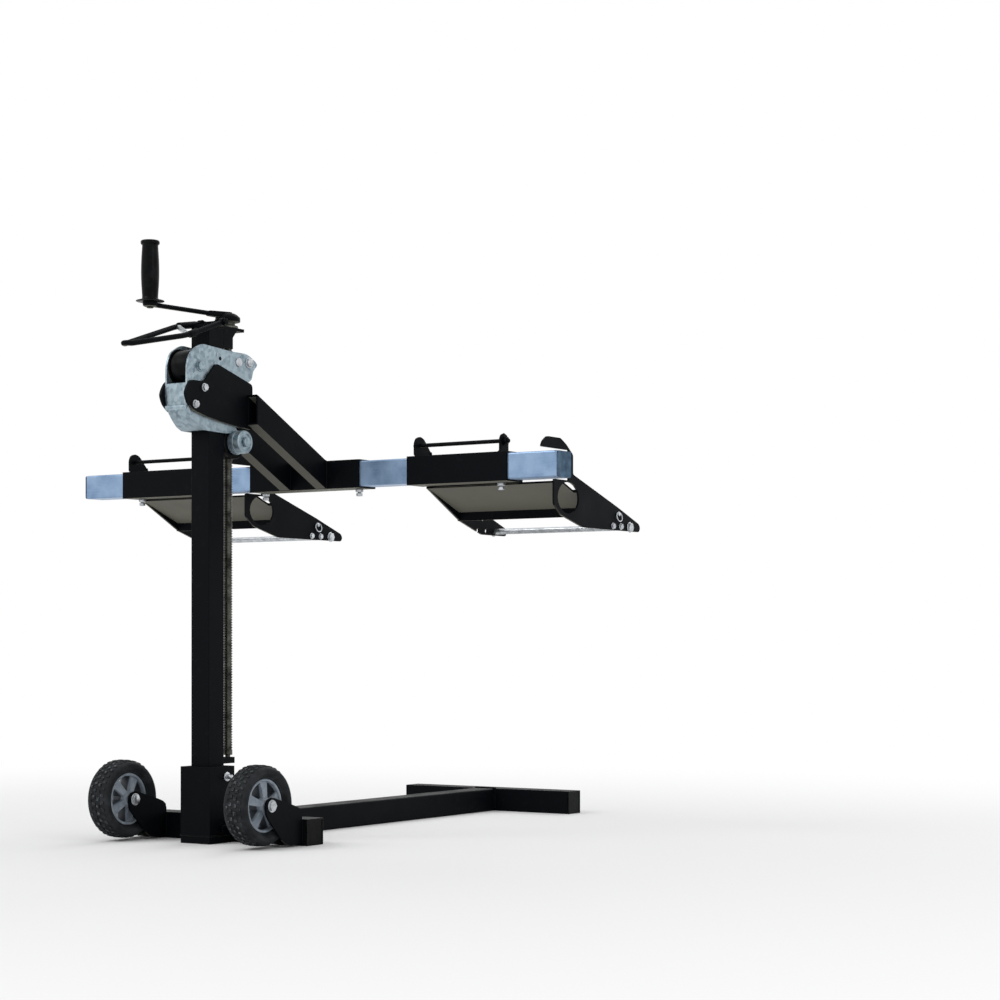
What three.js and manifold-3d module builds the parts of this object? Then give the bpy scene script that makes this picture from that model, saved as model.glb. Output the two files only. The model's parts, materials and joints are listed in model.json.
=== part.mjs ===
// Lawn mower lift: a screw-driven carriage on a square mast, with sliding wheel pans and a wheeled T base.
// Millimetres. +Z is up, +Y points from the mast towards the mower, +X is to the right. The origin is on
// the floor, on the mast's axis.
import * as THREE from 'three';
import { mergeVertices } from 'three/addons/utils/BufferGeometryUtils.js';
import Module from 'manifold-3d';

const wasm = await Module();
wasm.setup();

// Clearances and facet counts shared by all pieces
const seatGap = 0.3;
const overrun = 6;
const roundSides = 20;
const boltSides = 10;
const hexSides = 6;
const cornerSteps = 2;
const cornerReach = 2.2;
const halfTurn = Math.PI;
const radians = Math.PI / 180;

// Mast and its base socket
const mast = { width: 44.45, wall: 3, foot: 8, top: 990 };
const socket = { width: 73, wall: 5, floor: 6, height: 147 };
const liner = { foot: 8, height: 130 };
const lockPin = { radius: 5, z: 127, y: 13, headRadius: 9, headLength: 6, tail: 16 };
const baseBolt = { radius: 5, z: 28, headRadius: 8, headLength: 6, tail: 9 };

// Base tubes: a cross tube in front of the socket, a spine and the foot crossbar of the T
const lowTube = { width: 50.8, wall: 3 };
const crossTube = { length: 420 };
const spine = { length: 889.6 };
const footBar = { length: 440 };
const tubeCap = { rim: 3, plug: 14, clearance: 0.3, dish: 1.2 };

// Transport wheels
const wheel = { radius: 76, lift: 5, width: 54, fromEnd: 41, axleY: -55, seatRadius: 50, shoulder: 8 };
const tread = { height: 1.5, count: 12, length: 16, row: 14, sink: 3, stagger: 0.5 };
const rim = { hubRadius: 15, width: 50, ringInner: 41.5, discHalf: 5, lip: 3, windows: 5, spoke: 9 };
const fork = { gap: 58, plate: 4, web: 5, eyeRadius: 17, low: 3, crown: 78, crownY: 14, heel: -12 };
const wheelAxle = { radius: 6, headRadius: 10, headLength: 5, tail: 9 };

// Mast head, bearings and lead screw
const screw = { radius: 8, standoff: 37.8, journal: 5, start: 152, shoulder: 166, topInset: 3 };
const headPlate = { thick: 6, front: 83, cheek: 4, drop: 36, cheekFront: 49, flare: 14 };
const headEar = { rear: -2, front: 26, height: 11, thick: 4 };
const headBearing = { radius: 20, neckRadius: 14, height: 12, flange: 5 };
const footBearing = { z: 150, height: 12, halfWidth: 10, reach: 9.5 };

// Pull handle: a bent rod on both sides of the head, and the spacer between its legs
const handle = {
  rod: 4.5,
  boltY: 12,
  boltLift: 5.5,
  nearReach: 99,
  nearDrop: 36,
  farReach: 69,
  farDrop: 12,
  tipReach: 250,
  tipDrop: 66,
  tipHalf: 9,
  slack: 0.22,
  steps: 28,
  facets: 4,
};
const handleBolt = { radius: 4, eyeRadius: 8, eyeLength: 10, headRadius: 7, headLength: 5 };
const handleSpacer = { radius: 5, gap: 4.8 };

// Crank and grip
const crank = { throw: 178, heading: -105.3, rise: 4 };
const crankHub = { radius: 21, topRadius: 12, rimHeight: 10, height: 20, nutRadius: 9, nutHeight: 3 };
const crankArm = { rootWidth: 18, rootHeight: 13, rootEnd: 42, rod: 4.5, eyeRadius: 14 };
const spindle = { radius: 4, reach: 90, headRadius: 7, headHeight: 2.5 };
const grip = { radius: 15, belly: 17.2, flange: 27, flangeHeight: 3, length: 116, cap: 18, capHeight: 7, capEdge: 1 };
const gripShares = { low: 0.22, high: 0.75, swell: 0.8 };

// Carriage that climbs the mast, placed by the height of its upper roller's axle
const lift = { height: 910, rollerSpread: 137, barDrop: 185.7, barY: 327.4, nutRise: 19 };
const roller = { radius: 32, crown: 1.5, upperWidth: 40, lowerWidth: 12, rim: 4, recess: 2, hub: 12 };
const rollerAxle = { radius: 6, headRadius: 10, headLength: 6, tail: 8, screwGap: 1.5 };
const axleBoss = { radius: 22.5, length: 22 };
const shell = { thick: 4, sideGap: 1, behind: 40.8, below: 122, depth: 216, height: 165.4, corner: 9 };
const ear = { radius: 24 };
const liftNut = { half: 15, height: 26, pinRadius: 9, pinOut: 2 };
const spacerBolt = { radius: 5, beyondScrew: 31, rise: 21, headRadius: 9, headLength: 6, tail: 8 };
const armPlate = { thick: 6, behind: 48.5, below: 110, height: 119, lap: 17, corner: 6 };
const armBolt = { radius: 5, rollerGap: 3.4, lead: 5.5, rearLead: 20.5, drop: 34, head: 9, headLength: 6, tail: 8 };
const arm = { width: 25.4, height: 50.8, wall: 2.6, slope: 27.3, rearY: 78 };

// Crossbar, its sleeves and the bolts under them
const bar = { width: 50.8, wall: 3, length: 1206.6, endPlate: 3 };
const sleeve = { clearance: 0.775, wall: 2.4, centreLength: 280, panLength: 235 };
const sleeveBolt = { radius: 4, inset: 19, nutRadius: 8, nutHeight: 7, headRadius: 6.5, headHeight: 6, entry: 2, clampInset: 12 };

// Wheel pans: each is a sleeve with a sloping tray between two side walls
const pan = { fromEnd: 227.8, left: -102, right: 222, sheet: 4, tuck: 11, notchGap: 0.45 };
const tray = { drop: 43.5, reach: 104, lip: 20 };
const wall = {
  tip: 279,
  tipDepth: 16,
  nose: 5,
  topRise: 12.5,
  bendReach: 185.6,
  bendDrop: 41,
  floor: 87.7,
  heelReach: 184,
  rearTuck: 54,
  corner: 4,
};
const hook = { radius: 18, rodY: 38, rodLift: 21, shoulder: 16, shoulderDrop: 8 };
const crest = { rear: 100, front: 20, height: 21 };
const rodEar = { at: 96, thick: 4, radius: 15 };
const oval = { length: 79, height: 61, forward: -1.5, below: 3 };
const panHole = { radius: 4.5, fromTip: 39, near: 35, far: 66, rise: 24, riseBack: 47, second: 8 };
const topRod = { radius: 4, overhang: 11, nutRadius: 8, nutLength: 7 };
const frontRod = { radius: 6, nutRadius: 9, nutLength: 6 };

// Places worked out from the sizes above
const mastFace = mast.width / 2;
const handleSide = mastFace + seatGap + handle.rod;
const socketFace = socket.width / 2;
const crossY = socketFace + lowTube.width / 2;
const spineStart = socketFace + lowTube.width;
const spineEnd = spineStart + spine.length;
const footBarY = spineEnd + lowTube.width / 2;
const wheelX = crossTube.length / 2 - wheel.fromEnd;
const axleZ = wheel.radius + wheel.lift;
const screwY = mastFace + screw.standoff;
const upperRollerY = -(mastFace + seatGap + roller.radius);
const lowerRollerY = mastFace + seatGap + roller.radius;
const lowerRollerZ = lift.height - lift.rollerSpread;
const shellInner = mastFace + shell.sideGap;
const shellOuter = shellInner + shell.thick;
const armPlateInner = shellOuter + seatGap;
const armPlateOuter = armPlateInner + armPlate.thick;
const nutZ = lift.height + lift.nutRise;
const barZ = lift.height - lift.barDrop;
const barHalf = bar.width / 2;
const panOffset = bar.length / 2 - pan.fromEnd;
const sleeveOuter = bar.width + 2 * (sleeve.clearance + sleeve.wall);
const sleeveHalf = sleeveOuter / 2;
const sleeveBore = bar.width + 2 * sleeve.clearance;
const headTop = mast.top + headPlate.thick;
const hubBottom = headTop + seatGap + headBearing.height + seatGap;
const hubTop = hubBottom + crankHub.height;
const crankTurn = crank.heading * radians;
const gripX = crank.throw * Math.cos(crankTurn);
const gripY = screwY + crank.throw * Math.sin(crankTurn);
const crankRodZ = hubTop - crankArm.rootHeight / 2;
const crankEndZ = crankRodZ + crank.rise;
const gripBase = crankEndZ + crankArm.rod + seatGap;

// Materials, from the photograph
function paint(name, colour, roughness, metalness) {
  return new THREE.MeshStandardMaterial({ name, color: colour, roughness, metalness });
}
const blackCoat = () => paint('black_powder_coat', 0x23262a, 0.5, 0.35);
const zincSheet = () => paint('galvanised_sheet', 0xb9c6d2, 0.42, 0.85);
const zincTube = () => paint('zinc_tube', 0x9db4cf, 0.38, 0.8);
const boltZinc = () => paint('bright_bolt', 0xd4d8dc, 0.3, 0.9);
const steel = () => paint('screw_steel', 0x8b8d8f, 0.4, 0.9);
const rubber = () => paint('rubber', 0x2b2b2c, 0.85, 0);
const rimPlastic = () => paint('rim_plastic', 0x8d949c, 0.5, 0.05);
const blackPlastic = () => paint('black_plastic', 0x17181a, 0.55, 0);

// Solid helpers
function solidOf(geometry) {
  const bare = geometry.index ? geometry.toNonIndexed() : geometry.clone();
  bare.deleteAttribute('normal');
  bare.deleteAttribute('uv');
  const merged = mergeVertices(bare, 1e-4);
  const mesh = new wasm.Mesh({
    numProp: 3,
    vertProperties: new Float32Array(merged.attributes.position.array),
    triVerts: new Uint32Array(merged.index.array),
  });
  return new wasm.Manifold(mesh);
}

function geometryOf(solid) {
  const mesh = solid.getMesh();
  const geometry = new THREE.BufferGeometry();
  geometry.setAttribute('position', new THREE.BufferAttribute(new Float32Array(mesh.vertProperties), 3));
  geometry.setIndex(new THREE.BufferAttribute(new Uint32Array(mesh.triVerts), 1));
  geometry.computeVertexNormals();
  return geometry;
}

function join(geometries) {
  const solids = geometries.map(solidOf);
  return geometryOf(solids.slice(1).reduce((whole, piece) => whole.add(piece), solids[0]));
}

function cut(geometry, cutters) {
  const tools = cutters.map(solidOf);
  return geometryOf(tools.reduce((rest, tool) => rest.subtract(tool), solidOf(geometry)));
}

// Shape helpers
function block(x0, x1, y0, y1, z0, z1) {
  const box = new THREE.BoxGeometry(x1 - x0, y1 - y0, z1 - z0);
  return box.translate((x0 + x1) / 2, (y0 + y1) / 2, (z0 + z1) / 2);
}

function rodX(radius, x0, x1, y, z, sides = boltSides) {
  const rod = new THREE.CylinderGeometry(radius, radius, x1 - x0, sides);
  return rod.rotateZ(halfTurn / 2).translate((x0 + x1) / 2, y, z);
}

function rodZ(radius, x, y, z0, z1, sides = boltSides) {
  const rod = new THREE.CylinderGeometry(radius, radius, z1 - z0, sides);
  return rod.rotateX(halfTurn / 2).translate(x, y, (z0 + z1) / 2);
}

// A revolved piece about a vertical axis, from [radius, height] points that start and end on the axis
function turned(points, x, y, z, sides = roundSides) {
  const profile = points.map(([radius, height]) => new THREE.Vector2(radius, height));
  return new THREE.LatheGeometry(profile, sides).rotateX(halfTurn / 2).translate(x, y, z);
}

// A revolved ring about the X axis, from a closed loop of [radius, along] points
function ringX(points, x, y, z, sides = roundSides) {
  const profile = points.map(([radius, along]) => new THREE.Vector2(radius, along)).reverse();
  profile.push(profile[0].clone());
  return new THREE.LatheGeometry(profile, sides).rotateZ(-halfTurn / 2).translate(x, y, z);
}

// An outline of [y, z] points with its corners rounded off, where the corner is long enough
function roundedShape(points, radius) {
  const shape = new THREE.Shape();
  const count = points.length;
  points.forEach((point, i) => {
    const here = new THREE.Vector2(...point);
    const before = new THREE.Vector2(...points[(i + count - 1) % count]).sub(here);
    const after = new THREE.Vector2(...points[(i + 1) % count]).sub(here);
    const cutBack = Math.min(radius, before.length() / cornerReach, after.length() / cornerReach);
    const start = here.clone().add(before.setLength(cutBack));
    const end = here.clone().add(after.setLength(cutBack));
    if (i === 0) shape.moveTo(start.x, start.y);
    else shape.lineTo(start.x, start.y);
    if (cutBack > 0) shape.quadraticCurveTo(here.x, here.y, end.x, end.y);
  });
  shape.closePath();
  return shape;
}

// A plate across X, from x0 to x1, with an outline in the Y-Z plane
function plateX(points, radius, x0, x1) {
  const shape = roundedShape(points, radius);
  const options = { depth: x1 - x0, bevelEnabled: false, curveSegments: cornerSteps };
  const plate = new THREE.ExtrudeGeometry(shape, options);
  const basis = new THREE.Matrix4().makeBasis(
    new THREE.Vector3(0, 1, 0),
    new THREE.Vector3(0, 0, 1),
    new THREE.Vector3(1, 0, 0),
  );
  return plate.applyMatrix4(basis).translate(x0, 0, 0);
}

// The outline of a folded sheet: a run of [y, z] points and the same run set off to its right side
function sheetOutline(run, thick) {
  const sides = run.slice(1).map((point, i) => {
    const along = new THREE.Vector2(point[0] - run[i][0], point[1] - run[i][1]).normalize();
    return new THREE.Vector2(along.y, -along.x);
  });
  const inner = run.map((point, i) => {
    const before = sides[Math.max(i - 1, 0)];
    const after = sides[Math.min(i, sides.length - 1)];
    const mean = before.clone().add(after).normalize();
    const reach = thick / mean.dot(after);
    return [point[0] + mean.x * reach, point[1] + mean.y * reach];
  });
  return [...run, ...inner.reverse()];
}

// Outline points given as shares of a box that starts at y, z
function fromShares(shares, y, z, depth, height) {
  return shares.map(([yShare, zShare]) => [y + yShare * depth, z + zShare * height]);
}

// A square tube along X, Y or Z, centred on the two other axes
function squareTube(axis, from, to, middle, outer, inner) {
  const half = outer / 2;
  const bore = inner / 2;
  const span = (h, a, b) => {
    if (axis === 'X') return block(a, b, middle[0] - h, middle[0] + h, middle[1] - h, middle[1] + h);
    if (axis === 'Y') return block(middle[0] - h, middle[0] + h, a, b, middle[1] - h, middle[1] + h);
    return block(middle[0] - h, middle[0] + h, middle[1] - h, middle[1] + h, a, b);
  };
  return cut(span(half, from, to), [span(bore, from - overrun, to + overrun)]);
}

// A hex-headed bolt along X: its shank from x0 to x1, a head outside x1 and a nut with a tail outside x0
function boltX(size, x0, x1, y, z, headRadius, headLength) {
  return join([
    rodX(size.radius, x0 - size.tail, x1 + headLength / 2, y, z),
    rodX(headRadius, x1, x1 + headLength, y, z, hexSides),
    rodX(headRadius, x0 - headLength, x0, y, z, hexSides),
  ]);
}

// Base: socket, tubes, caps, forks and axles
function baseSocket() {
  const outer = block(-socketFace, socketFace, -socketFace, socketFace, 0, socket.height);
  const inner = socketFace - socket.wall;
  return cut(outer, [
    block(-inner, inner, -inner, inner, socket.floor, socket.height + overrun),
    rodX(lockPin.radius + seatGap, -socketFace - overrun, socketFace + overrun, lockPin.y, lockPin.z),
    rodX(baseBolt.radius + seatGap, -socketFace - overrun, socketFace + overrun, 0, baseBolt.z),
  ]);
}

function socketLiner() {
  const outer = socket.width - 2 * (socket.wall + seatGap);
  const tube = squareTube('Z', liner.foot, liner.foot + liner.height, [0, 0], outer, mast.width + 2 * seatGap);
  return cut(tube, [
    rodX(lockPin.radius + seatGap, -socketFace, socketFace, lockPin.y, lockPin.z),
    rodX(baseBolt.radius + seatGap, -socketFace, socketFace, 0, baseBolt.z),
  ]);
}

function mastTube() {
  const tube = squareTube('Z', mast.foot, mast.top, [0, 0], mast.width, mast.width - 2 * mast.wall);
  return cut(tube, [
    rodX(lockPin.radius + seatGap, -mast.width, mast.width, lockPin.y, lockPin.z),
    rodX(baseBolt.radius + seatGap, -mast.width, mast.width, 0, baseBolt.z),
  ]);
}

function lockPinPiece() {
  const out = socketFace + seatGap;
  return join([
    rodX(lockPin.radius, -out - lockPin.tail, out + lockPin.headLength / 2, lockPin.y, lockPin.z),
    rodX(lockPin.headRadius, out, out + lockPin.headLength, lockPin.y, lockPin.z),
  ]);
}

function capPiece(side, endX, middle) {
  const half = lowTube.width / 2;
  const plug = half - lowTube.wall - tubeCap.clearance;
  const edge = (from, to) => (side > 0 ? [endX + from, endX + to] : [-endX - to, -endX - from]);
  const rimSpan = edge(0, tubeCap.rim);
  const plugSpan = edge(-tubeCap.plug, tubeCap.rim / 2);
  const dishSpan = edge(tubeCap.rim - tubeCap.dish, tubeCap.rim + overrun);
  const inset = half - lowTube.wall;
  const around = (span, reach) => {
    const [y, z] = middle;
    return block(span[0], span[1], y - reach, y + reach, z - reach, z + reach);
  };
  return cut(join([around(rimSpan, half), around(plugSpan, plug)]), [around(dishSpan, inset)]);
}

function forkBracket(side) {
  const outline = [
    [wheel.axleY, axleZ + fork.eyeRadius],
    [fork.crownY, fork.crown],
    [socketFace - seatGap, fork.crown - fork.eyeRadius / 2],
    [socketFace - seatGap, fork.low],
    [fork.heel, fork.low],
    [wheel.axleY - fork.eyeRadius, axleZ - fork.eyeRadius],
    [wheel.axleY - fork.eyeRadius, axleZ + fork.eyeRadius / 2],
  ];
  const inner = fork.gap / 2;
  const outer = inner + fork.plate;
  const middle = side * wheelX;
  const rear = socketFace - seatGap - fork.web;
  const bracket = join([
    plateX(outline, fork.eyeRadius, middle - outer, middle - inner),
    plateX(outline, fork.eyeRadius, middle + inner, middle + outer),
    block(middle - outer, middle + outer, rear, socketFace - seatGap, fork.low + fork.plate, lowTube.width),
  ]);
  const bore = wheelAxle.radius + seatGap;
  return cut(bracket, [
    rodX(bore, middle - outer - overrun, middle + outer + overrun, wheel.axleY, axleZ),
  ]);
}

function axleBolt(side) {
  const reach = fork.gap / 2 + fork.plate + seatGap;
  const middle = side * wheelX;
  const { headRadius, headLength } = wheelAxle;
  return boltX(wheelAxle, middle - reach, middle + reach, wheel.axleY, axleZ, headRadius, headLength);
}

// Wheels: a treaded tyre on a rim with windows between its spokes
function tyre(side) {
  const half = wheel.width / 2;
  const crown = wheel.radius - tread.height;
  const low = crown - wheel.shoulder;
  const middle = side * wheelX;
  const bulge = half - wheel.shoulder / 2;
  const carcass = ringX(
    [
      [wheel.seatRadius, bulge],
      [(wheel.seatRadius + low) / 2, half],
      [low, half - tread.height],
      [crown, half - wheel.shoulder],
      [crown, wheel.shoulder - half],
      [low, tread.height - half],
      [(wheel.seatRadius + low) / 2, -half],
      [wheel.seatRadius, -bulge],
    ],
    middle,
    wheel.axleY,
    axleZ,
  );
  const lugs = [];
  for (let i = 0; i < tread.count; i += 1) {
    for (const row of [-1, 1]) {
      const lug = new THREE.BoxGeometry(tread.row, tread.length, tread.height + tread.sink);
      lug.translate(row * (half - wheel.shoulder - tread.row / 2 + tread.height), 0, 0);
      lug.translate(0, 0, crown + (tread.height - tread.sink) / 2);
      const turn = ((i + (row > 0 ? tread.stagger : 0)) / tread.count) * 2 * halfTurn;
      lug.rotateX(turn + halfTurn / tread.count);
      lugs.push(lug.translate(middle, wheel.axleY, axleZ));
    }
  }
  return join([carcass, ...lugs]);
}

function rimPiece(side) {
  const middle = side * wheelX;
  const half = rim.width / 2;
  const bore = wheelAxle.radius + seatGap;
  const outer = wheel.seatRadius - seatGap;
  const body = ringX(
    [
      [bore, half],
      [rim.hubRadius, half],
      [rim.hubRadius, rim.discHalf],
      [rim.ringInner, rim.discHalf],
      [rim.ringInner + rim.lip, half - rim.lip],
      [outer, half - rim.lip],
      [outer, rim.lip - half],
      [rim.ringInner + rim.lip, rim.lip - half],
      [rim.ringInner, -rim.discHalf],
      [rim.hubRadius, -rim.discHalf],
      [rim.hubRadius, -half],
      [bore, -half],
    ],
    middle,
    wheel.axleY,
    axleZ,
  );
  const windowTools = [];
  for (let i = 0; i < rim.windows; i += 1) {
    const inner = rim.hubRadius + rim.lip;
    const reach = rim.ringInner - rim.lip / 2;
    const open = halfTurn / rim.windows;
    const narrow = open - Math.asin(rim.spoke / 2 / inner);
    const wide = open - Math.asin(rim.spoke / 2 / reach);
    const shape = new THREE.Shape();
    shape.moveTo(inner * Math.cos(-narrow), inner * Math.sin(-narrow));
    shape.lineTo(reach * Math.cos(-wide), reach * Math.sin(-wide));
    shape.absarc(0, 0, reach, -wide, wide, false);
    shape.lineTo(inner * Math.cos(narrow), inner * Math.sin(narrow));
    shape.absarc(0, 0, inner, narrow, -narrow, true);
    const tool = new THREE.ExtrudeGeometry(shape, {
      depth: 2 * (rim.discHalf + overrun),
      bevelEnabled: false,
      curveSegments: cornerSteps,
    });
    tool.translate(0, 0, -rim.discHalf - overrun).rotateY(halfTurn / 2).rotateX(2 * open * i);
    windowTools.push(tool.translate(middle, wheel.axleY, axleZ));
  }
  return cut(body, windowTools);
}

// Mast head: the top plate with cheeks in front of the mast and ears for the pull handle
function headBracket() {
  const cheekLow = mast.top - headPlate.drop;
  const cheek = [
    [mastFace, cheekLow],
    [headPlate.cheekFront, cheekLow],
    [headPlate.cheekFront, mast.top - headPlate.flare],
    [headPlate.cheekFront + headPlate.flare, mast.top + headPlate.thick / 2],
    [mastFace, mast.top + headPlate.thick / 2],
  ];
  const earOutline = [
    [headEar.rear, mast.top + headPlate.thick / 2],
    [headEar.front, mast.top + headPlate.thick / 2],
    [headEar.front, headTop + headEar.height],
    [headEar.rear, headTop + headEar.height],
  ];
  const pieces = [block(-mastFace, mastFace, -mastFace, headPlate.front, mast.top, headTop)];
  for (const side of [-1, 1]) {
    const cheekSpan = [side * mastFace, side * (mastFace - headPlate.cheek)].sort((a, b) => a - b);
    const earSpan = [side * mastFace, side * (mastFace - headEar.thick)].sort((a, b) => a - b);
    pieces.push(plateX(cheek, 0, ...cheekSpan));
    pieces.push(plateX(earOutline, headEar.height / 2, ...earSpan));
  }
  const bore = handleBolt.radius + seatGap;
  return cut(join(pieces), [
    rodZ(screw.radius + seatGap, 0, screwY, mast.top - overrun, headTop + overrun, roundSides),
    rodX(bore, -mast.width, mast.width, handle.boltY, headTop + handle.boltLift),
  ]);
}

function headBearingPiece() {
  const z = headTop + seatGap;
  const body = turned(
    [
      [0, 0],
      [headBearing.radius, 0],
      [headBearing.radius, headBearing.flange],
      [headBearing.neckRadius, headBearing.height],
      [0, headBearing.height],
    ],
    0,
    screwY,
    z,
  );
  return cut(body, [
    rodZ(screw.radius + seatGap, 0, screwY, z - overrun, z + headBearing.height + overrun, roundSides),
  ]);
}

function footBearingPiece() {
  const front = screwY + footBearing.reach;
  const { z, height, halfWidth } = footBearing;
  const body = block(-halfWidth, halfWidth, mastFace + seatGap, front, z, z + height);
  return cut(body, [rodZ(screw.journal + seatGap, 0, screwY, z - overrun, z + height + overrun)]);
}

function leadScrew() {
  const top = hubTop - screw.topInset;
  return join([
    rodZ(screw.radius, 0, screwY, screw.shoulder, top, roundSides),
    rodZ(screw.journal, 0, screwY, screw.start, screw.shoulder + overrun),
  ]);
}

// Pull handle: two legs from the head's ears, meeting in a narrow bend behind the mast
function handlePoints() {
  const z = headTop + handle.boltLift;
  const y = handle.boltY;
  return {
    nearStart: new THREE.Vector3(handleSide, y, z),
    nearKnee: new THREE.Vector3(handleSide, y - handle.nearReach, z - handle.nearDrop),
    nearBend: new THREE.Vector3(handle.tipHalf, y - handle.tipReach + handle.tipHalf, z - handle.tipDrop),
    tip: new THREE.Vector3(0, y - handle.tipReach, z - handle.tipDrop),
    farBend: new THREE.Vector3(-handle.tipHalf, y - handle.tipReach + handle.tipHalf, z - handle.tipDrop),
    farKnee: new THREE.Vector3(-handleSide, y - handle.farReach, z - handle.farDrop),
    farStart: new THREE.Vector3(-handleSide, y, z),
  };
}

function pullHandle() {
  const p = handlePoints();
  const route = [p.nearStart, p.nearKnee, p.nearBend, p.tip, p.farBend, p.farKnee, p.farStart];
  const curve = new THREE.CatmullRomCurve3(route, false, 'catmullrom', handle.slack);
  const section = new THREE.Shape().absarc(0, 0, handle.rod, 0, 2 * halfTurn, false);
  const bentRod = new THREE.ExtrudeGeometry(section, {
    steps: handle.steps,
    extrudePath: curve,
    curveSegments: handle.facets,
  });
  const z = headTop + handle.boltLift;
  const inner = mastFace + seatGap;
  const outer = inner + handleBolt.eyeLength;
  const body = join([
    bentRod,
    rodX(handleBolt.eyeRadius, inner, outer, handle.boltY, z),
    rodX(handleBolt.eyeRadius, -outer, -inner, handle.boltY, z),
  ]);
  return cut(body, [rodX(handleBolt.radius + seatGap, -outer - overrun, outer + overrun, handle.boltY, z)]);
}

// A round bar between two points, shortened at both ends
function strut(a, b, radius, shorten) {
  const along = b.clone().sub(a);
  const length = along.length() - 2 * shorten;
  const bar3 = new THREE.CylinderGeometry(radius, radius, length, boltSides);
  const turn = new THREE.Quaternion().setFromUnitVectors(new THREE.Vector3(0, 1, 0), along.normalize());
  const middle = a.clone().add(b).multiplyScalar(1 / 2);
  return bar3.applyQuaternion(turn).translate(middle.x, middle.y, middle.z);
}

function handleBoltPiece() {
  const outer = mastFace + seatGap + handleBolt.eyeLength + seatGap;
  const z = headTop + handle.boltLift;
  return join([
    rodX(handleBolt.radius, -outer - handleBolt.headLength / 2, outer + handleBolt.headLength / 2, handle.boltY, z),
    rodX(handleBolt.headRadius, outer, outer + handleBolt.headLength, handle.boltY, z, hexSides),
    rodX(handleBolt.headRadius, -outer - handleBolt.headLength, -outer, handle.boltY, z, hexSides),
  ]);
}

// Crank: hub, arm with an eye at its end, spindle and grip
function crankHubPiece() {
  const { radius, topRadius, rimHeight, height, nutRadius, nutHeight } = crankHub;
  const profile = [
    [0, 0],
    [radius, 0],
    [radius, rimHeight],
    [topRadius, height],
    [0, height],
  ];
  const body = join([
    turned(profile, 0, screwY, hubBottom),
    rodZ(nutRadius, 0, screwY, hubTop - nutHeight, hubTop + nutHeight, hexSides),
  ]);
  const slotHalf = crankArm.rootWidth / 2 + seatGap;
  const slot = block(
    topRadius,
    radius + overrun,
    -slotHalf,
    slotHalf,
    hubTop - crankArm.rootHeight - seatGap,
    hubTop + overrun,
  );
  slot.rotateZ(crankTurn).translate(0, screwY, 0);
  return cut(body, [
    slot,
    rodZ(screw.radius + seatGap, 0, screwY, hubBottom - overrun, hubTop - screw.topInset + seatGap, roundSides),
  ]);
}

function crankArmPiece() {
  const start = crankHub.topRadius + seatGap;
  const half = crankArm.rootWidth / 2;
  const root = block(start, crankArm.rootEnd, -half, half, hubTop - crankArm.rootHeight, hubTop);
  const from = new THREE.Vector3(crankArm.rootEnd - overrun, 0, crankRodZ);
  const to = new THREE.Vector3(crank.throw, 0, crankEndZ);
  const eyeLow = crankEndZ - crankArm.rod;
  const eyeHigh = crankEndZ + crankArm.rod;
  const body = join([
    root,
    strut(from, to, crankArm.rod, 0),
    rodZ(crankArm.eyeRadius, crank.throw, 0, eyeLow, eyeHigh, roundSides),
  ]);
  const bore = rodZ(spindle.radius + seatGap, crank.throw, 0, eyeLow - overrun, eyeHigh + overrun);
  return cut(body, [bore]).rotateZ(crankTurn).translate(0, screwY, 0);
}

function spindlePiece() {
  const low = crankEndZ - crankArm.rod - seatGap;
  return join([
    rodZ(spindle.radius, gripX, gripY, low - spindle.headHeight / 2, gripBase + spindle.reach),
    rodZ(spindle.headRadius, gripX, gripY, low - spindle.headHeight, low, hexSides),
  ]);
}

function gripPiece() {
  const { radius, belly, flange, flangeHeight, length, cap, capHeight, capEdge } = grip;
  const shoulder = length - capHeight;
  const swollen = radius + (belly - radius) * gripShares.swell;
  const body = turned(
    [
      [0, 0],
      [flange, 0],
      [flange, flangeHeight],
      [radius, flangeHeight],
      [swollen, length * gripShares.low],
      [belly, length / 2],
      [swollen, length * gripShares.high],
      [radius, shoulder],
      [cap, shoulder],
      [cap, length - capEdge],
      [cap - capEdge, length],
      [0, length],
    ],
    gripX,
    gripY,
    gripBase,
  );
  return cut(body, [
    rodZ(spindle.radius + seatGap, gripX, gripY, gripBase - overrun, gripBase + spindle.reach + seatGap),
  ]);
}

// Carriage: a folded sheet with two C-shaped sides, ears for the lower rollers and a rear web
const shellSideShares = [
  [0.233, 0.009],
  [0.168, 0.048],
  [0.113, 0.115],
  [0.064, 0.193],
  [0.034, 0.266],
  [0.018, 0.363],
  [0.018, 0.529],
  [0.02, 0.756],
  [0.071, 0.9],
  [0.21, 1],
  [0.608, 0.967],
  [0.835, 0.967],
  [0.921, 0.919],
  [1, 0.859],
  [0.921, 0.78],
  [0.909, 0.665],
  [0.719, 0.556],
  [0.627, 0.405],
  [0.627, 0.145],
  [0.72, 0.03],
  [0.557, 0],
];
const shellWebShares = [
  [0.018, 0.529],
  [0.018, 0.363],
  [0.034, 0.266],
  [0.064, 0.193],
  [0.113, 0.115],
  [0.168, 0.048],
  [0.233, 0.009],
  [0.27, 0.008],
];

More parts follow.
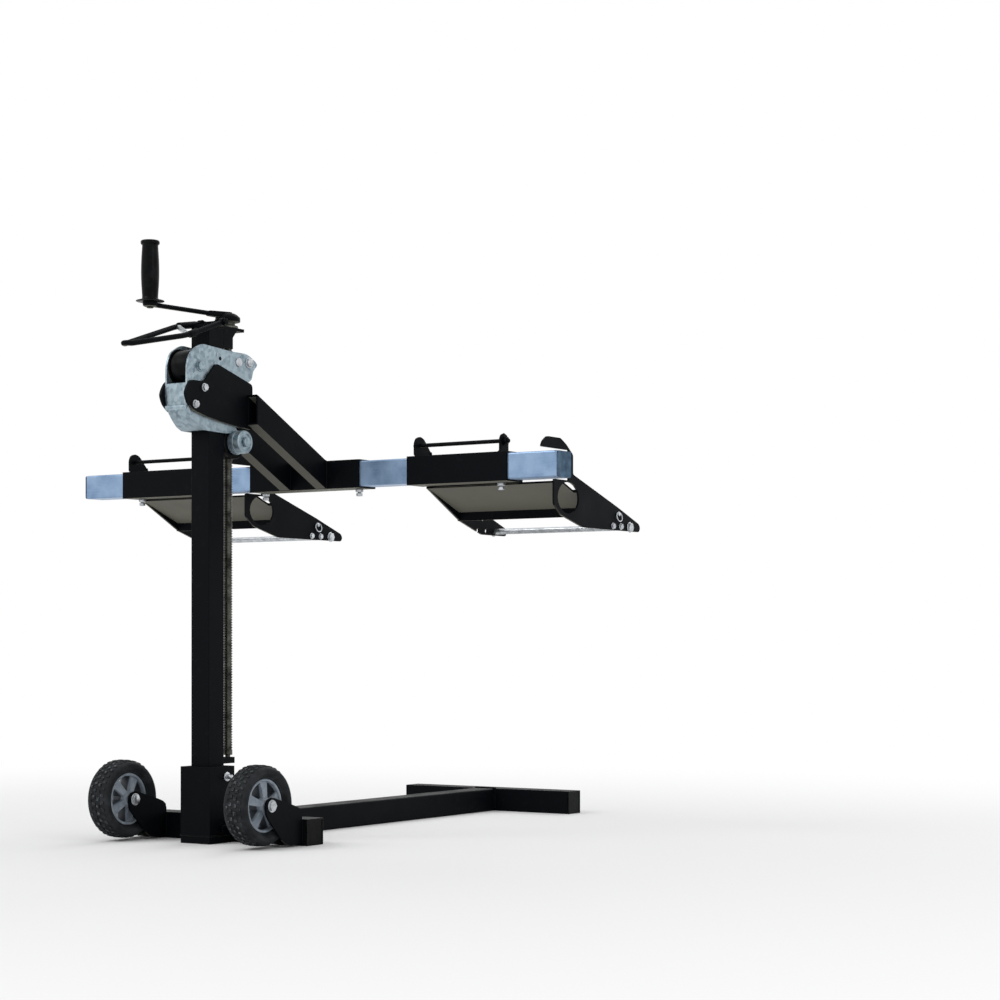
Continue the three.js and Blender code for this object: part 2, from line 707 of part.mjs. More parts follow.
function carriageShell() {
  const rear = upperRollerY - shell.behind;
  const low = lift.height - shell.below;
  const side = fromShares(shellSideShares, rear, low, shell.depth, shell.height);
  const web = fromShares(shellWebShares, rear, low, shell.depth, shell.height);
  const pieces = [plateX(sheetOutline(web.reverse(), shell.thick), 0, -shellOuter, shellOuter)];
  for (const [from, to] of [[-shellOuter, -shellInner], [shellInner, shellOuter]]) {
    pieces.push(plateX(side, shell.corner, from, to));
    pieces.push(rodX(ear.radius, from, to, lowerRollerY, lowerRollerZ, roundSides));
  }
  const across = shellOuter + overrun;
  const hole = (radius, y, z) => rodX(radius + seatGap, -across, across, y, z);
  return cut(join(pieces), [
    hole(rollerAxle.radius, upperRollerY, lift.height),
    hole(rollerAxle.radius, lowerRollerY, lowerRollerZ),
    hole(liftNut.pinRadius, screwY, nutZ),
    hole(spacerBolt.radius, screwY + spacerBolt.beyondScrew, lift.height + spacerBolt.rise),
    hole(armBolt.radius, ...upperArmBoltAt()),
    hole(armBolt.radius, ...lowerArmBoltAt()),
  ]);
}

function upperArmBoltAt() {
  return [upperRollerY + armBolt.lead, lift.height - roller.radius - armBolt.radius - armBolt.rollerGap];
}

function lowerArmBoltAt() {
  const [, z] = upperArmBoltAt();
  return [upperRollerY - armBolt.rearLead, z - armBolt.drop];
}

const armPlateShares = [
  [0.455, 1],
  [1, 0.739],
  [1, 0],
  [0.73, 0.034],
  [0.52, 0.07],
  [0.31, 0.126],
  [0.121, 0.2],
  [0.042, 0.3],
  [0, 0.454],
  [0.035, 0.58],
  [0.083, 0.68],
  [0.28, 0.68],
];

function armPlatePiece(side) {
  const rear = upperRollerY - armPlate.behind;
  const depth = arm.rearY + armPlate.lap - rear;
  const low = lift.height - armPlate.below;
  const outline = fromShares(armPlateShares, rear, low, depth, armPlate.height);
  const span = [side * armPlateInner, side * armPlateOuter].sort((a, b) => a - b);
  const across = armPlateOuter + overrun;
  const hole = (radius, y, z) => rodX(radius + seatGap, -across, across, y, z);
  return cut(plateX(outline, armPlate.corner, ...span), [
    hole(armBolt.radius, ...upperArmBoltAt()),
    hole(armBolt.radius, ...lowerArmBoltAt()),
  ]);
}

function liftArm(side) {
  const slope = arm.slope * radians;
  const deep = arm.height / Math.cos(slope);
  const skin = arm.wall / Math.cos(slope);
  const frontY = lift.barY - sleeveHalf;
  const rise = (frontY - arm.rearY) * Math.tan(slope);
  const low = barZ - deep / 2;
  const lean = overrun * Math.tan(slope);
  const outline = [
    [arm.rearY, low + rise],
    [frontY, low],
    [frontY, low + deep],
    [arm.rearY, low + rise + deep],
  ];
  const boreOutline = [
    [arm.rearY - overrun, low + rise + lean + skin],
    [frontY + overrun, low - lean + skin],
    [frontY + overrun, low - lean + deep - skin],
    [arm.rearY - overrun, low + rise + lean + deep - skin],
  ];
  const inner = side * armPlateOuter;
  const outer = side * (armPlateOuter + arm.width);
  const span = [inner, outer].sort((a, b) => a - b);
  const bore = [inner + side * arm.wall, outer - side * arm.wall].sort((a, b) => a - b);
  return cut(plateX(outline, 0, ...span), [plateX(boreOutline, 0, ...bore)]);
}

function rollerPiece(width, x) {
  return (y, z) => {
    const half = width / 2;
    const bore = rollerAxle.radius + seatGap;
    const edge = roller.radius - roller.crown;
    return ringX(
      [
        [bore, half],
        [roller.hub, half],
        [roller.hub + roller.recess, half - roller.recess],
        [edge - roller.rim, half - roller.recess],
        [edge, half],
        [roller.radius, half - roller.rim],
        [roller.radius, roller.rim - half],
        [edge, -half],
        [edge - roller.rim, roller.recess - half],
        [roller.hub + roller.recess, roller.recess - half],
        [roller.hub, -half],
        [bore, -half],
      ],
      x,
      y,
      z,
    );
  };
}

function lowerRollerX(side) {
  return side * (shellInner - seatGap - seatGap - roller.lowerWidth / 2);
}

function upperAxle() {
  const reach = shellOuter + seatGap;
  return boltX(rollerAxle, -reach, reach, upperRollerY, lift.height, rollerAxle.headRadius, rollerAxle.headLength);
}

function lowerAxle(side) {
  const tip = screw.radius + rollerAxle.screwGap;
  const seat = shellOuter + seatGap;
  const bossEnd = seat + axleBoss.length;
  const { radius, headRadius, headLength } = rollerAxle;
  const shank = rodX(radius, tip, seat + headLength / 2, lowerRollerY, lowerRollerZ);
  const boss = rodX(axleBoss.radius, seat, bossEnd, lowerRollerY, lowerRollerZ, roundSides);
  const head = rodX(headRadius, bossEnd - headLength / 2, bossEnd + headLength, lowerRollerY, lowerRollerZ, hexSides);
  const stub = join([shank, boss, head]);
  return side > 0 ? stub : stub.rotateZ(halfTurn).translate(0, 2 * lowerRollerY, 0);
}

function liftNutPiece() {
  const reach = shellInner - seatGap;
  const pin = shellOuter + liftNut.pinOut;
  const { half, height, pinRadius } = liftNut;
  const body = join([
    block(-reach, reach, screwY - half, screwY + half, nutZ - height / 2, nutZ + height / 2),
    rodX(pinRadius, -pin, pin, screwY, nutZ),
  ]);
  return cut(body, [rodZ(screw.radius + seatGap, 0, screwY, nutZ - height, nutZ + height, roundSides)]);
}

function frontSpacerBolt() {
  const reach = shellOuter + seatGap;
  const y = screwY + spacerBolt.beyondScrew;
  const z = lift.height + spacerBolt.rise;
  return boltX(spacerBolt, -reach, reach, y, z, spacerBolt.headRadius, spacerBolt.headLength);
}

function armBoltPiece([y, z]) {
  const reach = armPlateOuter + seatGap;
  return boltX(armBolt, -reach, reach, y, z, armBolt.head, armBolt.headLength);
}

// Crossbar: a plated tube closed at both ends, the centre sleeve and the bolts from below
function crossbarTube() {
  const half = bar.length / 2;
  const inner = barHalf - bar.wall;
  const body = block(-half, half, lift.barY - barHalf, lift.barY + barHalf, barZ - barHalf, barZ + barHalf);
  const hollow = block(
    bar.endPlate - half,
    half - bar.endPlate,
    lift.barY - inner,
    lift.barY + inner,
    barZ - inner,
    barZ + inner,
  );
  const boltHole = (x) => rodZ(sleeveBolt.radius + seatGap, x, lift.barY, barZ - barHalf - overrun, barZ);
  return cut(body, [hollow, boltHole(-sleeveBoltX()), boltHole(sleeveBoltX())]);
}

function sleeveBoltX() {
  return sleeve.centreLength / 2 - sleeveBolt.inset;
}

function sleevePiece(x, length, boltXs) {
  const tube = squareTube('X', x - length / 2, x + length / 2, [lift.barY, barZ], sleeveOuter, sleeveBore);
  const holes = boltXs.map((at) => rodZ(sleeveBolt.radius + seatGap, at, lift.barY, barZ - sleeveOuter, barZ));
  return cut(tube, holes);
}

// A wheel pan's sleeve carries an ear for the top rod's right end
function panSleeve(middle, clampX) {
  const [rodY, rodHigh] = topRodAt();
  const low = barZ + sleeveHalf - sleeve.wall / 2;
  const from = middle + rodEar.at;
  const outline = [
    [rodY - rodEar.radius, low],
    ...roundEar(rodY, rodHigh, rodEar.radius),
    [rodY + rodEar.radius, rodHigh],
    [rodY + rodEar.radius, low],
  ];
  const body = join([
    sleevePiece(middle, sleeve.panLength, [clampX]),
    plateX(outline, 0, from, from + rodEar.thick),
  ]);
  return cut(body, [
    rodX(topRod.radius + seatGap, from - overrun, from + rodEar.thick + overrun, rodY, rodHigh),
  ]);
}

// A bolt and its nut under a sleeve; the tip stops at the given height
function underBolt(x, tip) {
  const seat = barZ - sleeveHalf - seatGap;
  const { radius, nutRadius, nutHeight, headRadius, headHeight, entry } = sleeveBolt;
  const low = seat - nutHeight - entry;
  return join([
    rodZ(radius, x, lift.barY, low - headHeight / 2, tip),
    rodZ(nutRadius, x, lift.barY, seat - nutHeight, seat, hexSides),
    rodZ(headRadius, x, lift.barY, low - headHeight, low, hexSides),
  ]);
}

// Wheel pan tray: sloping plate with a front lip, a shallow left wall and a deep right wall
const notchFront = lift.barY + sleeveHalf + pan.notchGap;
const notchLow = barZ - sleeveHalf - pan.notchGap;
const notchHigh = barZ + sleeveHalf + pan.notchGap;

function wallFrontPoints() {
  const bend = [notchFront + wall.bendReach, notchLow - wall.bendDrop];
  const tipLow = notchLow - wall.floor;
  const tipHigh = tipLow + wall.tipDepth;
  return {
    bend,
    noseTop: [notchFront + wall.tip - wall.nose, tipHigh],
    nose: [notchFront + wall.tip, (tipLow + tipHigh) / 2],
    noseLow: [notchFront + wall.tip - wall.nose, tipLow],
  };
}

// The left wall's hook over the crossbar, with a round eye for the top rod
function hookPoints() {
  const [rodY, rodHigh] = topRodAt();
  const eye = roundEar(rodY, rodHigh, hook.radius);
  return [[notchFront, notchHigh], [rodY - hook.radius, notchHigh], ...eye, ...shoulderPoints()];
}

// The right wall's hook is a long low crest
function crestPoints() {
  const from = notchFront - crest.rear;
  const to = notchFront - crest.front;
  const bevel = crest.height / 2;
  return [
    [notchFront, notchHigh],
    [from, notchHigh],
    [from + bevel / 2, notchHigh + bevel],
    [from + bevel * 2, notchHigh + crest.height],
    [to - bevel, notchHigh + crest.height],
    [to + bevel, notchHigh + bevel],
    ...shoulderPoints(),
  ];
}

function shoulderPoints() {
  return [
    [notchFront + hook.shoulder, notchHigh - hook.shoulderDrop],
    [notchFront + hook.shoulder, notchLow + wall.topRise],
  ];
}

// The upper half of a round ear about y, z, from its rear to its front
function roundEar(y, z, radius) {
  return earShares.map(([out, up]) => [y + out * radius, z + up * radius]);
}

const earShares = [
  [-1, 0.2],
  [-0.707, 0.75],
  [0, 1],
  [0.707, 0.75],
];

function topRodAt() {
  return [notchFront - hook.rodY, notchHigh + hook.rodLift];
}

function frontRodAt() {
  const { noseLow } = wallFrontPoints();
  return [noseLow[0] - panHole.fromTip, noseLow[1] + panHole.second];
}

function leftWallOutline() {
  const { bend, noseTop, nose, noseLow } = wallFrontPoints();
  const lipY = notchFront + tray.reach;
  return [
    [notchFront - pan.tuck, notchLow],
    [notchFront, notchLow],
    ...hookPoints(),
    bend,
    noseTop,
    nose,
    noseLow,
    [notchFront + wall.heelReach, noseLow[1]],
    [lipY, notchLow - tray.drop - tray.lip],
    [notchFront - pan.tuck, notchLow - pan.sheet],
  ];
}

function rightWallOutline() {
  const { bend, noseTop, nose, noseLow } = wallFrontPoints();
  const rear = notchFront - wall.rearTuck;
  return [
    [rear, notchLow],
    [notchFront, notchLow],
    ...crestPoints(),
    bend,
    noseTop,
    nose,
    noseLow,
    [notchFront + wall.rearTuck, noseLow[1]],
    [notchFront - wall.rearTuck / 2, noseLow[1] + tray.lip],
    [rear, noseLow[1] + 2 * tray.lip],
  ];
}

function trayRun() {
  return [
    [notchFront - pan.tuck, notchLow],
    [notchFront + tray.reach, notchLow - tray.drop],
    [notchFront + tray.reach, notchLow - tray.drop - tray.lip],
  ];
}

function panTray(middle) {
  const left = middle + pan.left;
  const right = middle + pan.right;
  const body = join([
    plateX(sheetOutline(trayRun(), pan.sheet), 0, left, right),
    plateX(leftWallOutline(), wall.corner, left, left + pan.sheet),
    plateX(rightWallOutline(), wall.corner, right - pan.sheet, right),
  ]);
  const across = (radius, [y, z]) => rodX(radius + seatGap, left - overrun, right + overrun, y, z);
  const [rodY, rodZ0] = frontRodAt();
  const ovalTool = rodX(oval.height / 2, right - pan.sheet - overrun, right + overrun, 0, 0, roundSides);
  ovalTool.scale(1, oval.length / oval.height, 1);
  ovalTool.translate(0, notchFront + oval.forward, notchLow - oval.below - oval.height / 2);
  const rear = notchFront - crest.rear - overrun;
  return cut(body, [
    block(left - overrun, right + overrun, rear, notchFront, notchLow, notchHigh),
    rodX(topRod.radius + seatGap, left - overrun, left + pan.sheet + overrun, ...topRodAt()),
    across(frontRod.radius, [rodY, rodZ0]),
    across(panHole.radius, [rodY - panHole.far, rodZ0]),
    across(panHole.radius, [rodY - panHole.near, rodZ0]),
    across(panHole.radius, [rodY - panHole.riseBack, rodZ0 + panHole.rise]),
    ovalTool,
  ]);
}

function topRodPiece(middle) {
  const [y, z] = topRodAt();
  const from = middle + pan.left - seatGap;
  const to = middle + rodEar.at + rodEar.thick + seatGap;
  return join([
    rodX(topRod.radius, from - topRod.overhang, to + topRod.overhang, y, z),
    rodX(topRod.nutRadius, from - topRod.nutLength, from, y, z, hexSides),
    rodX(topRod.nutRadius, to, to + topRod.nutLength, y, z, hexSides),
  ]);
}

function frontRodPiece(middle) {
  const [y, z] = frontRodAt();
  const from = middle + pan.left - seatGap;
  const to = middle + pan.right + seatGap;
  return join([
    rodX(frontRod.radius, from - frontRod.nutLength / 2, to + frontRod.nutLength / 2, y, z),
    rodX(frontRod.nutRadius, from - frontRod.nutLength, from, y, z, hexSides),
    rodX(frontRod.nutRadius, to, to + frontRod.nutLength, y, z, hexSides),
  ]);
}

// Assembly: every piece as its own named mesh
const assembly = new THREE.Group();

function place(name, geometry, material) {
  const mesh = new THREE.Mesh(geometry, material);
  mesh.name = name;
  assembly.add(mesh);
}

const sides = [
  ['left', -1],
  ['right', 1],
];

function placeBase() {
  const half = lowTube.width / 2;
  const bore = lowTube.width - 2 * lowTube.wall;
  const crossHalf = crossTube.length / 2;
  const footHalf = footBar.length / 2;
  place('base_socket', baseSocket(), blackCoat());
  place('socket_liner', socketLiner(), blackPlastic());
  place('mast_tube', mastTube(), blackCoat());
  place('mast_lock_pin', lockPinPiece(), boltZinc());
  const out = socketFace + seatGap;
  place('base_bolt', boltX(baseBolt, -out, out, 0, baseBolt.z, baseBolt.headRadius, baseBolt.headLength), boltZinc());
  place('cross_tube', squareTube('X', -crossHalf, crossHalf, [crossY, half], lowTube.width, bore), blackCoat());
  place('spine_tube', squareTube('Y', spineStart, spineEnd, [0, half], lowTube.width, bore), blackCoat());
  place('foot_crossbar', squareTube('X', -footHalf, footHalf, [footBarY, half], lowTube.width, bore), blackCoat());
  for (const [name, side] of sides) {
    place(`cross_tube_cap_${name}`, capPiece(side, crossHalf, [crossY, half]), blackPlastic());
    place(`foot_cap_${name}`, capPiece(side, footHalf, [footBarY, half]), blackPlastic());
    place(`wheel_fork_${name}`, forkBracket(side), blackCoat());
    place(`wheel_axle_${name}`, axleBolt(side), boltZinc());
    place(`wheel_tyre_${name}`, tyre(side), rubber());
    place(`wheel_rim_${name}`, rimPiece(side), rimPlastic());
  }
}

function placeHeadAndCrank() {
  place('mast_head_bracket', headBracket(), blackCoat());
  place('head_bearing', headBearingPiece(), boltZinc());
  place('screw_foot_bearing', footBearingPiece(), blackCoat());
  place('pull_handle', pullHandle(), blackCoat());
  place('pull_handle_bolt', handleBoltPiece(), boltZinc());
  const { nearKnee, farKnee } = handlePoints();
  const spacer = strut(nearKnee, farKnee, handleSpacer.radius, handle.rod + handleSpacer.gap);
  place('pull_handle_spacer', spacer, boltZinc());
  place('lead_screw', leadScrew(), steel());
  place('crank_hub', crankHubPiece(), blackCoat());
  place('crank_arm', crankArmPiece(), blackCoat());
  place('crank_grip_spindle', spindlePiece(), boltZinc());
  place('crank_grip', gripPiece(), blackPlastic());
}

function placeLift() {
  place('carriage_shell', carriageShell(), zincSheet());
  place('lift_nut', liftNutPiece(), boltZinc());
  place('front_spacer_bolt', frontSpacerBolt(), boltZinc());
  place('upper_roller_axle', upperAxle(), boltZinc());
  place('upper_roller', rollerPiece(roller.upperWidth, 0)(upperRollerY, lift.height), blackPlastic());
  place('upper_arm_bolt', armBoltPiece(upperArmBoltAt()), boltZinc());
  place('lower_arm_bolt', armBoltPiece(lowerArmBoltAt()), boltZinc());
  place('crossbar_tube', crossbarTube(), zincTube());
  const boltAt = sleeveBoltX();
  place('centre_sleeve', sleevePiece(0, sleeve.centreLength, [-boltAt, boltAt]), blackCoat());
  for (const [name, side] of sides) {
    const lowerRoller = rollerPiece(roller.lowerWidth, lowerRollerX(side));
    place(`lower_roller_${name}`, lowerRoller(lowerRollerY, lowerRollerZ), blackPlastic());
    place(`lower_roller_axle_${name}`, lowerAxle(side), boltZinc());
    place(`arm_plate_${name}`, armPlatePiece(side), blackCoat());
    place(`lift_arm_${name}`, liftArm(side), blackCoat());
    place(`sleeve_bolt_${name}`, underBolt(side * boltAt, barZ - barHalf + bar.wall), boltZinc());
  }
}

function placePans() {
  for (const [name, side] of sides) {
    const middle = side * panOffset;
    const clampX = middle + side * (sleeve.panLength / 2 - sleeveBolt.inset - sleeveBolt.clampInset);
    place(`pan_sleeve_${name}`, panSleeve(middle, clampX), blackCoat());
    place(`pan_tray_${name}`, panTray(middle), blackCoat());
    place(`pan_top_rod_${name}`, topRodPiece(middle), blackCoat());
    place(`pan_front_rod_${name}`, frontRodPiece(middle), boltZinc());
    place(`pan_clamp_bolt_${name}`, underBolt(clampX, barZ - barHalf - seatGap), boltZinc());
  }
}

placeBase();
placeHeadAndCrank();
placeLift();
placePans();

export default assembly;
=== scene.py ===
# %% [markdown]
# # A lawn mower lift
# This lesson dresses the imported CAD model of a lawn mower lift. The CAD gives every piece its size and its
# place, in metres. Here each piece gets its finish, and the pieces that need finer shapes are made again.

# %% Load the CAD frame
import json
import math

import bmesh
import bpy
from mathutils import Matrix, Vector


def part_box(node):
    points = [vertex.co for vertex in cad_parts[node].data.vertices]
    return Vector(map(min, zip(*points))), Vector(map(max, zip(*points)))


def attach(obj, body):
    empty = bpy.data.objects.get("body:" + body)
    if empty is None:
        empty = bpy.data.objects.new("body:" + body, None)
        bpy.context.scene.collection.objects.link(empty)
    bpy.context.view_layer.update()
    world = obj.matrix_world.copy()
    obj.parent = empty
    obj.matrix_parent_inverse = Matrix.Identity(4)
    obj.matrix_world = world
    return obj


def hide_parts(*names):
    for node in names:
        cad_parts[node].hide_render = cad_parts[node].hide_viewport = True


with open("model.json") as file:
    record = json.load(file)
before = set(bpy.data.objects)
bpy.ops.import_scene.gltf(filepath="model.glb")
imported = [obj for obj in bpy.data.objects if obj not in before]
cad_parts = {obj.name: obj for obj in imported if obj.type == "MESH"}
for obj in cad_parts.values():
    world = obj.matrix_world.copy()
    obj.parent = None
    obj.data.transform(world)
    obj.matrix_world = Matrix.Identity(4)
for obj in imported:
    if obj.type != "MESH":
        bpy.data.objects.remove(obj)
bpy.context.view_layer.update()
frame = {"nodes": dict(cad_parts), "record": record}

nodes = frame["nodes"]

# %% [markdown]
# The photograph is taken from behind the mast, low and to the right, with a long lens. The camera's place and
# lens were worked out from the straight edges of the tubes. The lens looks level, and the picture is cut
# off-centre, which is what the camera's shift does.

# %% Camera
CAMERA_PLACE = (2.7873, -3.2783, 0.3835)
CAMERA_PITCH = 90.09
CAMERA_HEADING = 32.85
CAMERA_LENS, CAMERA_SENSOR = 79.72, 36
CAMERA_SHIFT = 0.1397
CAMERA_REACH = 200
camera_data = bpy.data.cameras.new("camera")
camera_data.lens = CAMERA_LENS
camera_data.sensor_width = CAMERA_SENSOR
camera_data.shift_y = CAMERA_SHIFT
camera_data.clip_end = CAMERA_REACH
camera = bpy.data.objects.new("camera", camera_data)
camera.location = CAMERA_PLACE
camera.rotation_euler = (math.radians(CAMERA_PITCH), 0, math.radians(CAMERA_HEADING))
bpy.context.scene.collection.objects.link(camera)
bpy.context.scene.camera = camera
print("camera height, metres:", CAMERA_PLACE[2])

# %% [markdown]
# A plain studio: a pale floor that takes the shadow, a world that is white to the camera and in
# reflections, and large soft lamps. Most light comes from the world, so a colour renders about as it is
# written. The lamps add a little from the left, where the photograph's light comes from. Far away the floor
# turns as white as the world, so there is no horizon.

# %% Floor, world and lamps
scene = bpy.context.scene
scene.view_settings.view_transform = "Standard"
FLOOR_HALF = 60
FLOOR_COLOUR = (0.93, 0.93, 0.935, 1)
FLOOR_ROUGHNESS, FLOOR_SHINE = 0.9, 0.1
FLOOR_FADE = (0.8, 2.9)
WORLD_LEVEL = 0.62


def deselect_all():
    """Leave nothing selected, because the next operator acts on all that is selected."""
    if bpy.context.mode != "OBJECT":
        bpy.ops.object.mode_set(mode="OBJECT")
    bpy.ops.object.select_all(action="DESELECT")


deselect_all()
bpy.ops.mesh.primitive_plane_add(size=2 * FLOOR_HALF, location=(0, 0, 0))
floor = bpy.context.object
floor.name = "floor"
floor_finish = bpy.data.materials.new("pale_floor")
floor_finish.use_nodes = True
floor_shader = floor_finish.node_tree.nodes["Principled BSDF"]
floor_shader.inputs["Base Color"].default_value = FLOOR_COLOUR
floor_shader.inputs["Roughness"].default_value = FLOOR_ROUGHNESS
floor_shader.inputs["Specular IOR Level"].default_value = FLOOR_SHINE
floor_tree = floor_finish.node_tree
floor_place = floor_tree.nodes.new("ShaderNodeTexCoord")
far_out = floor_tree.nodes.new("ShaderNodeVectorMath")
far_out.operation = "LENGTH"
floor_tree.links.new(floor_place.outputs["Object"], far_out.inputs[0])
fade = floor_tree.nodes.new("ShaderNodeMapRange")
fade.interpolation_type = "SMOOTHSTEP"
fade.inputs["From Min"].default_value, fade.inputs["From Max"].default_value = FLOOR_FADE
floor_tree.links.new(far_out.outputs["Value"], fade.inputs["Value"])
white = floor_tree.nodes.new("ShaderNodeEmission")
far_floor = floor_tree.nodes.new("ShaderNodeMixShader")
floor_tree.links.new(fade.outputs["Result"], far_floor.inputs["Fac"])
floor_tree.links.new(floor_shader.outputs["BSDF"], far_floor.inputs[1])
floor_tree.links.new(white.outputs["Emission"], far_floor.inputs[2])
floor_tree.links.new(far_floor.outputs["Shader"], floor_tree.nodes["Material Output"].inputs["Surface"])
floor.data.materials.append(floor_finish)

world = bpy.data.worlds.new("studio")
scene.world = world
world.use_nodes = True
world_tree = world.node_tree
sky = world_tree.nodes["Background"]
sky.inputs["Color"].default_value = (1, 1, 1, 1)
rays = world_tree.nodes.new("ShaderNodeLightPath")
seen = rays.outputs["Is Camera Ray"]
for ray in ("Is Glossy Ray", "Is Transmission Ray"):
    either = world_tree.nodes.new("ShaderNodeMath")
    either.operation = "MAXIMUM"
    world_tree.links.new(seen, either.inputs[0])
    world_tree.links.new(rays.outputs[ray], either.inputs[1])
    seen = either.outputs["Value"]
level = world_tree.nodes.new("ShaderNodeMapRange")
level.inputs["To Min"].default_value = WORLD_LEVEL
level.inputs["To Max"].default_value = 1.0
world_tree.links.new(seen, level.inputs["Value"])
world_tree.links.new(level.outputs["Result"], sky.inputs["Strength"])

LAMPS = {
    "key": {"place": (-2.2, -4.0, 4.4), "size": 3.0, "power": 120},
    "side": {"place": (4.2, -0.8, 2.6), "size": 1.5, "power": 19},
    "back": {"place": (-0.6, 4.6, 3.8), "size": 3.2, "power": 60},
}
LAMP_AIM = Vector((0.1, 0.3, 0.6))
for lamp_name, lamp in LAMPS.items():
    light = bpy.data.lights.new(lamp_name, "AREA")
    light.size = lamp["size"]
    light.energy = lamp["power"]
    holder = bpy.data.objects.new(lamp_name, light)
    holder.location = lamp["place"]
    holder.rotation_euler = (LAMP_AIM - holder.location).to_track_quat("-Z", "Y").to_euler()
    scene.collection.objects.link(holder)
print("lamps:", ", ".join(LAMPS))

# %% [markdown]
# A finish is a small tree of nodes. On the real lift there are only a few: black powder coat, galvanised
# sheet, bright zinc plate, oiled steel, rubber and moulded plastic. They could be single colours, but a real
# coat is never even, so each one mixes a few soft noises. All of them read Object coordinates, which are
# metres here, so a grain keeps its real size on every piece.

# %% Helpers for finishes
def new_finish(name, roughness, metallic=0.0, specular=0.5):
    """A material with its shader, plus the tree to add nodes to."""
    finish = bpy.data.materials.new(name)
    finish.use_nodes = True
    node_tree = finish.node_tree
    shader = node_tree.nodes["Principled BSDF"]
    shader.inputs["Roughness"].default_value = roughness
    shader.inputs["Metallic"].default_value = metallic
    shader.inputs["Specular IOR Level"].default_value = specular
    return finish, node_tree, shader


def coordinates(node_tree, stretch=(1, 1, 1), shift=(0, 0, 0)):
    """The piece's own coordinates in metres, stretched where a grain runs along an axis, then shifted."""
    source = node_tree.nodes.new("ShaderNodeTexCoord")
    mapping = node_tree.nodes.new("ShaderNodeMapping")
    mapping.inputs["Scale"].default_value = stretch
    mapping.inputs["Location"].default_value = shift
    node_tree.links.new(source.outputs["Object"], mapping.inputs["Vector"])
    return mapping.outputs["Vector"]


def soft_noise(node_tree, vector, scale, detail=3.0, roughness=0.5):
    """A cloudy value from 0 to 1; scale is in features per metre."""
    noise = node_tree.nodes.new("ShaderNodeTexNoise")
    noise.inputs["Scale"].default_value = scale
    noise.inputs["Detail"].default_value = detail
    noise.inputs["Roughness"].default_value = roughness
    node_tree.links.new(vector, noise.inputs["Vector"])
    return noise.outputs["Fac"]


def cells(node_tree, vector, scale):
    """A random grey per cell, as the crystals of a zinc coat have."""
    voronoi = node_tree.nodes.new("ShaderNodeTexVoronoi")
    voronoi.inputs["Scale"].default_value = scale
    node_tree.links.new(vector, voronoi.inputs["Vector"])
    grey = node_tree.nodes.new("ShaderNodeSeparateColor")
    node_tree.links.new(voronoi.outputs["Color"], grey.inputs["Color"])
    return grey.outputs["Red"]


def remap(node_tree, value, low, high, to_low, to_high):
    """Stretch the part of a value between low and high to a new range, and clamp the rest."""
    stretch = node_tree.nodes.new("ShaderNodeMapRange")
    stretch.inputs["From Min"].default_value = low
    stretch.inputs["From Max"].default_value = high
    stretch.inputs["To Min"].default_value = to_low
    stretch.inputs["To Max"].default_value = to_high
    node_tree.links.new(value, stretch.inputs["Value"])
    return stretch.outputs["Result"]


def blend_colours(node_tree, share, first, second):
    """A mix of two colours, or of two colour outputs, by a value from 0 to 1."""
    mix = node_tree.nodes.new("ShaderNodeMix")
    mix.data_type = "RGBA"
    node_tree.links.new(share, mix.inputs[0])
    colour_sockets = [s for s in mix.inputs if s.type == "RGBA"]
    for socket, colour in zip(colour_sockets, (first, second)):
        if isinstance(colour, tuple):
            socket.default_value = (*colour, 1)
        else:
            node_tree.links.new(colour, socket)
    return [s for s in mix.outputs if s.type == "RGBA"][0]


def facing(node_tree, start, full, share):
    """From 0 where a face looks up as little as start says, to share where it looks up as full says."""
    geometry = node_tree.nodes.new("ShaderNodeNewGeometry")
    parts = node_tree.nodes.new("ShaderNodeSeparateXYZ")
    node_tree.links.new(geometry.outputs["Normal"], parts.inputs["Vector"])
    return remap(node_tree, parts.outputs["Z"], start, full, 0.0, share)


def worked_out(node_tree, operation, first, second=0.0):
    """One value from two, by a Math node."""
    result = node_tree.nodes.new("ShaderNodeMath")
    result.operation = operation
    for socket, value in zip(result.inputs, (first, second)):
        if isinstance(value, float):
            socket.default_value = value
        else:
            node_tree.links.new(value, socket)
    return result.outputs["Value"]


def distance(node_tree, vector):
    """How far a place is from zero."""
    length = node_tree.nodes.new("ShaderNodeVectorMath")
    length.operation = "LENGTH"
    node_tree.links.new(vector, length.inputs[0])
    return length.outputs["Value"]


def bump(node_tree, shader, height, strength, distance):
    """Relief without geometry: distance is the real height of the grain in metres."""
    relief = node_tree.nodes.new("ShaderNodeBump")
    relief.inputs["Strength"].default_value = strength
    relief.inputs["Distance"].default_value = distance
    node_tree.links.new(height, relief.inputs["Height"])
    node_tree.links.new(relief.outputs["Normal"], shader.inputs["Normal"])


CLOUDS = (0.3, 0.7)
print("finish helpers ready; most of a soft noise lies from", CLOUDS[0], "to", CLOUDS[1])
